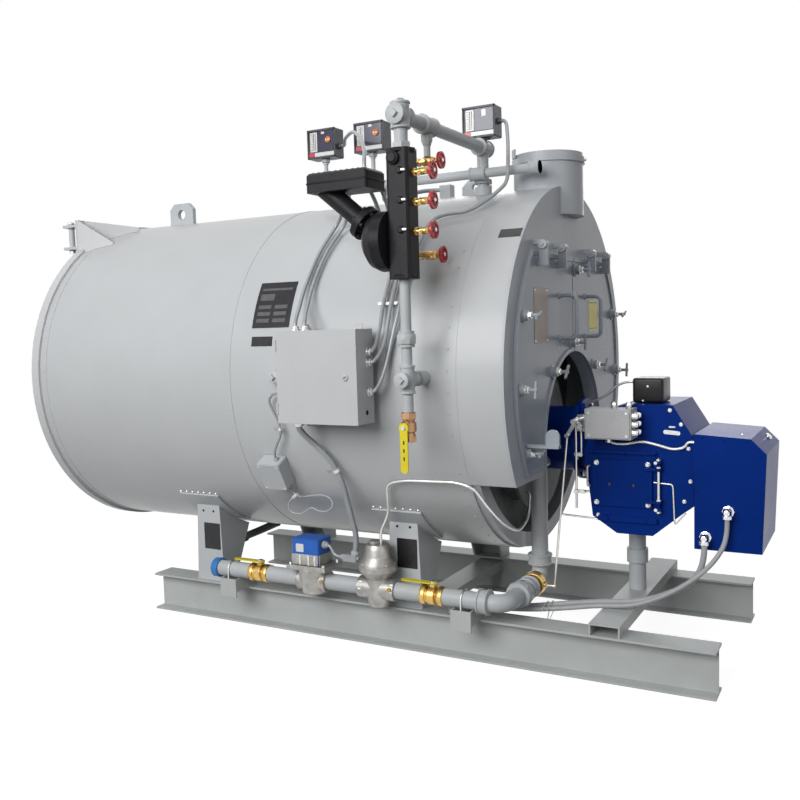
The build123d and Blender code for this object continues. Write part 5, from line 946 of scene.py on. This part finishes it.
# Gas train: painted pipe along the near beam with a blue shipping cap on its open end, two brass
# cocks, a safety shut-off valve with a blue actuator, and the pressure regulator.
cap_blue = moulded_sleeve("cap_blue", (0.04, 0.2, 0.5), 0.4)
cap_steps = [(0, 0.0375), (0.004, 0.0385), (0.01, 0.0385), (0.012, 0.0372), (0.027, 0.0372), (0.033, 0.032)]
turnings("gas_inlet_cap", cap_blue, [(at(0.407, gas_y, gas_z), rearward, cap_steps, 32)])


def octagon(x, rear_radius, radius, front_radius, rim, depth):
    """Eight-sided end of a fitting on the gas line, from its x forward."""
    steps = [(0, rear_radius), (rim, radius), (depth - rim, radius), (depth, front_radius)]
    return at(x, gas_y, gas_z), forward, steps, 8


cock_hexagons = []
for x in cock_stations:
    for start in (-0.0428, 0.0238):
        cock_hexagons.append(octagon(x + start, 0.0345, 0.0365, 0.0345, 0.003, 0.019))
    cock_hexagons.append((at(x, gas_y, gas_z + 0.031), upward, stub(0.015, 0.008, 0.01, 0.012), 6))
turnings("gas_cock_hexagons", gas_brass, cock_hexagons)
aluminium = cast_skin("die_cast_aluminium", (0.36, 0.35, 0.33), 0.4, metallic=0.75, grain=0.00035)
dress(aluminium, "gas_safety_valve", "gas_regulator")
actuator_blue = moulded_sleeve("actuator_blue", (0.03, 0.13, 0.5), 0.34)
dress(actuator_blue, "gas_valve_actuator")
valve_x, actuator_x, regulator_x = 0.8485, 0.84, 1.125
flange_corners = at_corners(at(valve_x, gas_y, 0.297), forward, far, 0.072, 0.048)
bolts("valve_flange_bolts", plated, [(spot, upward) for spot in flange_corners], 0.012, 0.007)
base_z, base_height = 0.318, 0.04
base_sides = []
for x, y, across, width in (
    (actuator_x, gas_y - 0.046, forward, 0.114), (actuator_x, gas_y + 0.046, rearward, 0.114),
    (0.899, gas_y, far, 0.088), (0.781, gas_y, near, 0.088),
):
    base_sides.append((at(x, y, base_z), across, upward, width, base_height, 0.003))
cards("actuator_base", aluminium, base_sides)
posts = []
for share in (-0.4, 0.35, 0.9):
    place = at(actuator_x + share * 0.05, gas_y - 0.0495, 0.299)
    posts.append((place, upward, stub(0.0045, 0.03, 0.036, 0.003), 10))
turnings("actuator_posts", plated, posts)
actuator_label = (at(0.818, gas_y - 0.046, 0.361), forward, upward, 0.034, 0.03, 0.001, 0.003)
cards("actuator_label", scale_white, [actuator_label])
cap_lip = (at(actuator_x, gas_y, 0.391), forward, far, 0.108, 0.082, 0.004, 0.01)
cards("actuator_cap_lip", actuator_blue, [cap_lip])
plug_pieces = [
    (at(0.8992, -0.5, 0.372), forward, [(0, 0.014), (0.012, 0.014), (0.014, 0.01), (0.022, 0.009)], 16),
    (at(0.988, -0.5, 0.335), rearward, stub(0.0105, 0.008, 0.012, 0.008), 12),
    (at(1.0363, -0.5, 0.348), upward, stub(0.0155, 0.01, 0.016, 0.0115), 12),
    (at(1.0442, -0.5, 0.335), forward, stub(0.0095, 0.006, 0.008, 0.007), 12),
]
turnings("actuator_plug", conduit_grey, plug_pieces)
rim_spots = on_circle(at(regulator_x, gas_y, 0.3235), forward, far, 0.0605, 8, 0.25)
bolts("regulator_rim_screws", plated, [(spot, upward) for spot in rim_spots], 0.008, 0.005)
regulator_parts = [
    (at(regulator_x - 0.012, gas_y, 0.395), upward, stub(0.021, 0.008, 0.011, 0.017), 24),
    octagon(regulator_x - 0.0745, 0.0395, 0.041, 0.039, 0.004, 0.022),
    octagon(regulator_x + 0.0525, 0.039, 0.041, 0.0395, 0.004, 0.022),
    octagon(valve_x - 0.0625, 0.041, 0.0435, 0.041, 0.003, 0.016),
    octagon(valve_x + 0.0465, 0.041, 0.0435, 0.041, 0.003, 0.016),
]
turnings("regulator_cap", aluminium, regulator_parts)
taps = []
for x, y, z, size, neck, shoulder, end in (
    (regulator_x + 0.064, gas_y - 0.038, gas_z + 0.012, 0.007, 0.0045, 0.008, 0.018),
    (valve_x + 0.055, gas_y - 0.04, gas_z + 0.01, 0.0065, 0.004, 0.006, 0.013),
):
    taps.append((at(x, y, z), near, stub(size, shoulder, shoulder + 0.002, neck) + [(end, neck)], 6))
taps.append((at(1.6875, -0.2225, gas_z), forward, stub(0.007, 0.004), 6))
turnings("pressure_taps", gas_brass, taps)
butterfly_y, elbow_x = -0.222, 1.612
disc_steps = [(0, 0.04), (0.003, 0.043), (0.034, 0.043), (0.037, 0.04)]
butterfly_parts = [
    (at(elbow_x, butterfly_y - 0.0185, gas_z), far, disc_steps, 32),
    (at(elbow_x + 0.036, butterfly_y, gas_z), forward, stub(0.011, 0.012, 0.014, 0.008), 12),
]
turnings("butterfly_valve_body", gas_brass, butterfly_parts)


def bent_rod(name, paint, points, diameter):
    """Thin bar or wire bent at the points, with round corners."""
    path = [points[0]]
    for before, corner, after in zip(points, points[1:], points[2:]):
        shorter = min((corner - before).length, (after - corner).length)
        ease = min(0.3, 2.5 * diameter / shorter)
        path += [corner.lerp(before, ease), corner, corner.lerp(after, ease)]
    rod = smooth_line(name, paint, [*path, points[-1]], diameter, 3, 6)
    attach(rod, "boiler")


clamp_radius, thread_end_z, arc_steps = 0.0338, 0.196, 8
for number, x in enumerate((0.465, 1.462)):
    hoop = [at(x, gas_y - clamp_radius, thread_end_z)]
    for k in range(arc_steps + 1):
        angle = math.pi * (1 - k / arc_steps)
        hoop.append(at(x, gas_y + clamp_radius * math.cos(angle), gas_z + clamp_radius * math.sin(angle)))
    hoop.append(at(x, gas_y + clamp_radius, thread_end_z))
    bent_rod(f"gas_pipe_u_bolt_{number + 1}", plated, hoop, 0.006)
union_steps = [(0, 0.045), (0.004, 0.047), (0.03, 0.047), (0.034, 0.044)]
riser_bands = [band(at(elbow_x, riser_y, z), upward, 0.0407) for z in (0.2955, 0.3265)]
riser_bands += [band(at(x, gas_y, gas_z), forward, 0.0407) for x in (1.5245, 1.556)]
riser_bands.append((at(elbow_x, -0.373, gas_z), far, union_steps, 8))
riser_bands += [band(at(elbow_x, y, gas_z), far, 0.0377) for y in (-0.264, -0.299)]
turnings("gas_riser_bands", pipe_grey, riser_bands)

# Burner: welded blue housing on a blast tube, with a hinged access cover, two bolted ledges and
# a motor box with a sloped top. The enamel is deep and glossy.
burner_blue = sprayed_enamel(
    "enamel_burner_blue", (0.001, 0.024, 0.2), 0.3, 0.1, peel=0.0001, wear=0.06, shine=0.06
)
dress(burner_blue, "burner_housing", "burner_access_cover", "burner_blast_tube", "burner_motor_box")
housing_y, cover_y, motor_y, rod_x, rod_y = -0.17, -0.179, -0.182, 2.047, -0.185
cover_bolts = [(at(x, cover_y, z), near) for x in (1.833, 2.01) for z in (0.676, 0.537)]
bolts("access_cover_bolts", plated, cover_bolts, 0.013, 0.008, "burner_cover")
dots = [(at(x, cover_y, 0.601), near, stub(0.006, 0.003, 0.004, 0.0045), 12) for x in (1.878, 1.962)]
turnings("access_cover_dots", label_black, dots, "burner_cover")
collars = [(at(rod_x, rod_y, z), upward, stub(0.0095, 0.005, 0.006, 0.008), 12) for z in (0.5553, 0.6673)]
turnings("cover_hinge_collars", plated, collars, "burner_cover")
rod_pieces = [(at(rod_x, rod_y, 0.5565), upward, stub(0.0052, 0.0985), 14)]
for z, way in ((0.692, upward), (0.52, downward)):
    rod_pieces.append((at(rod_x, rod_y, z), way, stub(0.0085, 0.006, 0.008, 0.006), 6))
rod_pieces += [(at(2.04, -0.1935, z), near, stub(0.006, 0.005), 6) for z in (0.686, 0.526)]
turnings("cover_hinge_rod_plating", plated, rod_pieces)
ledge_spots = ((1.822, 0.7145), (1.93, 0.7145), (2.03, 0.7145), (1.87, 0.4815), (2.0, 0.4815))
bolts("ledge_bolts", burner_blue, [(at(x, -0.182, z), near) for x, z in ledge_spots], 0.009, 0.005)
edge_spots = (
    (2.148, 0.625), (2.128, 0.556), (2.142, 0.735), (2.082, 0.862),
    (2.118, 0.815), (1.87, 0.862), (1.835, 0.49),
)
bolts("housing_edge_bolts", plated, [(at(x, housing_y, z), near) for x, z in edge_spots], 0.01, 0.006)
silver_colour = coloured_surface("badge_silver", (0.6, 0.6, 0.58), 0.15, 90.0, 0.3, metallic=0.9)
silver_print = relief(silver_colour, 500.0, 0.00008)
badge_way, badge_up = Vector((1, 0, -0.08)), Vector((0.08, 0, 1))
badges = [
    (at(2.088, housing_y, 0.787), badge_way, badge_up, 0.056, 0.014, 0.0015, 0.006),
    (at(2.089, housing_y, 0.806), forward, upward, 0.022, 0.006, 0.0012, 0.0028),
]
cards("housing_badge", silver_print, badges)
tube_bends = ((2.029, 0.616), (2.092, 0.612), (2.097, 0.487), (2.1, 0.478), (2.134, 0.518))
bent_rod("housing_pressure_tube", silver_print, [at(x, -0.1738, z) for x, z in tube_bends], 0.006)
flange_bolts = []
for spot in on_circle(at(1.746, 0, furnace_z), far, upward, 0.134, 8, 0.5):
    flange_bolts.append((spot, forward, stub(0.0095, 0.006, 0.008, 0.008), 6))
turnings("blast_flange_bolts", plated, flange_bolts)
post_steps = [(0, 0.013), (0.03, 0.013), (0.034, 0.01), (0.04, 0.0095)]
post_way = Vector((0, -0.2, 1)).normalized()
turnings("scanner_post", burner_blue, [(at(1.752, -0.06, 0.83), post_way, post_steps, 20)])

# Motor box: its two leads leave through chrome elbow connectors, and small screws run round the
# edge of the near plate.
motor_screws = (
    (2.185, 0.776), (2.255, 0.772), (2.325, 0.768), (2.365, 0.722), (2.372, 0.6),
    (2.366, 0.46), (2.34, 0.412), (2.25, 0.412), (2.172, 0.412), (2.17, 0.6),
)
motor_spots = [(at(x, motor_y, z), near) for x, z in motor_screws]
bolts("motor_box_screws", burner_blue, motor_spots, 0.007, 0.0035, washer=False)
chrome_colour = coloured_surface("chrome_fitting", (0.75, 0.75, 0.74), 0.1, 50.0, 0.14, metallic=1.0)
chrome = relief(chrome_colour, 200.0, 0.00005)
barrel_steps = [(0, 0.0138), (0.03, 0.0138), (0.035, 0.0128), (0.0375, 0.0085)]
nut_steps = [(0, 0.0085), (0.003, 0.0125), (0.006, 0.0138), (0.022, 0.0138)]
nut_steps += [(0.0225, 0.0165), (0.033, 0.0165), (0.036, 0.0135)]
elbow_parts = []
for x, z in ((2.27, 0.536), (2.199, 0.446)):
    elbow_parts.append((at(x, motor_y, z), near, stub(0.0195, 0.006, 0.007, 0.0165), 8))
    elbow_parts.append((at(x, motor_y, z), near, barrel_steps, 24))
    elbow_parts.append((at(x, -0.206, z + 0.0135), downward, nut_steps, 24))
turnings("motor_lead_elbows", chrome, elbow_parts)
slope_way = Vector((0.7, 0, 0.7)).normalized()
latch_parts = [
    (at(2.362, 0.06, 0.7535), slope_way, stub(0.012, 0.006, 0.01, 0.008), 20),
    (at(2.3, -0.1, 0.7785), upward, [(0, 0.004), (0.003, 0.0035)], 10),
]
turnings("motor_box_latch", chrome, latch_parts)

# Control and junction boxes: a black moulded relay case on the housing, and a white-grey box on
# its near side with cable glands on its end and top.
moulded_black = moulded_sleeve("moulded_case_black", (0.012, 0.012, 0.013), 0.3)


def relay_case(shape):
    """Closed case with corners rounded all over."""
    middle, (length, width, height) = at(1.9975, -0.06, 0.9232), (0.105, 0.12, 0.0855)
    bmesh.ops.create_cube(shape, size=1.0)
    for vert in shape.verts:
        vert.co = middle + Vector((vert.co.x * length, vert.co.y * width, vert.co.z * height))
    bmesh.ops.bevel(shape, geom=shape.edges[:], offset=0.009, segments=4, profile=0.5, affect="EDGES")


case_piece = finished(piece_from("relay_case", relay_case), moulded_black, smooth=50.0)
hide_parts("burner_control_box")
case_seam = (at(1.9975, -0.06, 0.905), forward, far, 0.107, 0.122, 0.0022, 0.009)
cards("relay_case_seam", moulded_black, [case_seam])
case_screws = [
    (at(1.9975, -0.12, 0.938), near, [(0, 0.004), (0.002, 0.0035)], 12),
    (at(1.982, -0.1215, 0.889), near, [(0, 0.004), (0.003, 0.0035)], 8),
]
turnings("relay_case_screws", plated, case_screws)
box_colour = coloured_surface("junction_box_white_grey", (0.47, 0.47, 0.48), 0.05, 22.0, 0.45)
box_white = relief(box_colour, 260.0, 0.00012)
dress(box_white, "burner_junction_box")
junction_lid = (at(1.895, -0.257, 0.819), forward, upward, 0.15, 0.097, 0.004, 0.008)
cards("junction_box_lid", box_white, [junction_lid])
lid_screws = []
for spot in at_corners(at(1.895, -0.261, 0.819), forward, upward, 0.064, 0.038):
    lid_screws.append((spot, near, [(0, 0.0042), (0.0015, 0.0038)], 12))
turnings("junction_box_screws", plated, lid_screws)
gland = [(0, 0.0125), (0.005, 0.0125), (0.006, 0.0105), (0.016, 0.0105), (0.021, 0.007)]
glands = [(at(1.973, y, z), forward, gland, 8) for y in (-0.237, -0.197) for z in (0.79, 0.818, 0.846)]
glands += [(at(x, -0.21, 0.87), upward, gland, 8) for x in (1.905, 1.955)]
glands.append((at(1.884, -0.206, 0.768), downward, gland[:4], 8))
turnings("junction_box_glands", plated, glands)

# Linkage: plated rods and flat cranks between the jackshaft, the air damper and the butterfly
# valve, clamped with small screws.
dress(plated, "burner_linkage", "sensing_tube")
link_y = -0.171
link_ends = [(at(1.763, link_y, 0.82), near, stub(0.0125, 0.01, 0.012, 0.01), 8)]
for x, y, z, radius, height in (
    (1.777, link_y, 0.794, 0.0085, 0.009), (1.758, link_y, 0.568, 0.0085, 0.009),
    (1.786, link_y, 0.568, 0.007, 0.007), (1.777, link_y, 0.7, 0.0075, 0.008),
    (1.731, -0.186, 0.766, 0.0085, 0.009),
):
    link_ends.append((at(x, y, z), near, stub(radius, height), 6))
link_ends.append((at(1.763, -0.215, 0.82), near, stub(0.009, 0.006), 8))
turnings("linkage_clamps", plated, link_ends)
bent_rod("damper_link_rod", plated, [at(1.69, -0.12, 0.47), at(1.86, -0.12, 0.462)], 0.007)
pull_bends = ((1.806, -0.168, 0.662), (1.803, -0.186, 0.66), (1.803, -0.186, 0.594), (1.806, -0.168, 0.592))
bent_rod("cover_pull_rod", scale_white, [at(*bend) for bend in pull_bends], 0.007)

# Held leads: grey flexible conduits from the panel to the switch head, the controls, the sensor
# box and the gas valve, clipped to the jacket, with the burner's own silver leads.
grey_skin = coloured_surface("flexible_conduit_grey", (0.33, 0.345, 0.36), 0.08, 26.0, 0.32, metallic=0.25)
dress(relief(grey_skin, 800.0, 0.0001), "panel_conduits")
silver_skin = coloured_surface("flexible_conduit_silver", (0.5, 0.5, 0.5), 0.12, 60.0, 0.3, metallic=0.7)
dress(relief(silver_skin, 600.0, 0.0002), "burner_leads")


def add_strap(shape, centre, along, span, diameter):
    """One-hole strap: a half round band over the conduit with a flat ear that is screwed down."""
    out = Vector((0, centre.y - shell_axis_y, centre.z - shell_axis_z)).normalized()
    side = out.cross(along).normalized()
    rings = []
    for reach in (diameter / 2 + 0.0012, diameter / 2 + 0.0028):
        for shift in (-0.006, 0.006):
            ring = []
            for k in range(9):
                angle = math.pi * k / 8
                arc = side * reach * math.cos(angle) + out * reach * math.sin(angle)
                ring.append(centre + arc + along * shift)
            ring += [ring[-1] - side * span]
            rings.append([shape.verts.new(spot) for spot in ring])
    inner_a, inner_b, outer_a, outer_b = rings
    last = len(inner_a) - 1
    for k in range(last):
        shape.faces.new((outer_a[k], outer_b[k], outer_b[k + 1], outer_a[k + 1]))
        shape.faces.new((inner_a[k], inner_a[k + 1], inner_b[k + 1], inner_b[k]))
        shape.faces.new((inner_a[k], outer_a[k], outer_a[k + 1], inner_a[k + 1]))
        shape.faces.new((inner_b[k], inner_b[k + 1], outer_b[k + 1], outer_b[k]))
    for k in (0, last):
        shape.faces.new((inner_a[k], inner_b[k], outer_b[k], outer_a[k]))


def conduit_straps(shape):
    add_strap(shape, at(1.045, -0.6205, 0.676), Vector((0.25, 0.3, -0.93)).normalized(), 0.03, 0.02)
    add_strap(shape, at(0.848, -0.6695, 0.82), Vector((0, 0.05, -1)).normalized(), 0.018, 0.009)


finished(piece_from("conduit_straps", conduit_straps), plated)
bar_up = Vector((0, 0.38, 0.92))
cards("lead_clip_bar", plated, [(at(1.274, -0.6305, 1.242), forward, bar_up, 0.075, 0.012, 0.0025, 0.003)])
for number, (x, y, z, tail) in enumerate(((1.679, -0.305, 0.17, 0.008), (1.697, -0.301, 0.173, -0.008))):
    wire = [at(x, y - 0.022, z - 0.002), at(x, y - 0.006, z + 0.014), at(x + 0.002, y + 0.042, z + 0.02)]
    wire += [at(x + 0.004, y + 0.046, z - 0.012), at(x + tail, y + 0.004, 0.118)]
    bent_rod(f"lead_tie_{number + 1}", plated, wire, 0.003)

# Pipe under the shell: a drain pipe that falls from the jacket's underside to the rear,
# seen between the saddles. Its near-black colour is painted shade, for the shadow under the shell.
drain_painted_shade = cast_skin("drain_pipe_painted_shade", (0.05, 0.052, 0.054), 0.5)
drain_y = -0.1
drain_spots = [at(x, drain_y, z) for x, z in ((0.2, 0.247), (0.3, 0.288), (0.4, 0.332))]
bent_rod("under_shell_drain", drain_painted_shade, drain_spots, 0.034)
drain_way = Vector((-0.91, 0, -0.41)).normalized()
drain_cap = (drain_spots[0], drain_way, [(-0.02, 0.023), (0.012, 0.023), (0.015, 0.019)], 20)
turnings("under_shell_drain_cap", drain_painted_shade, [drain_cap])
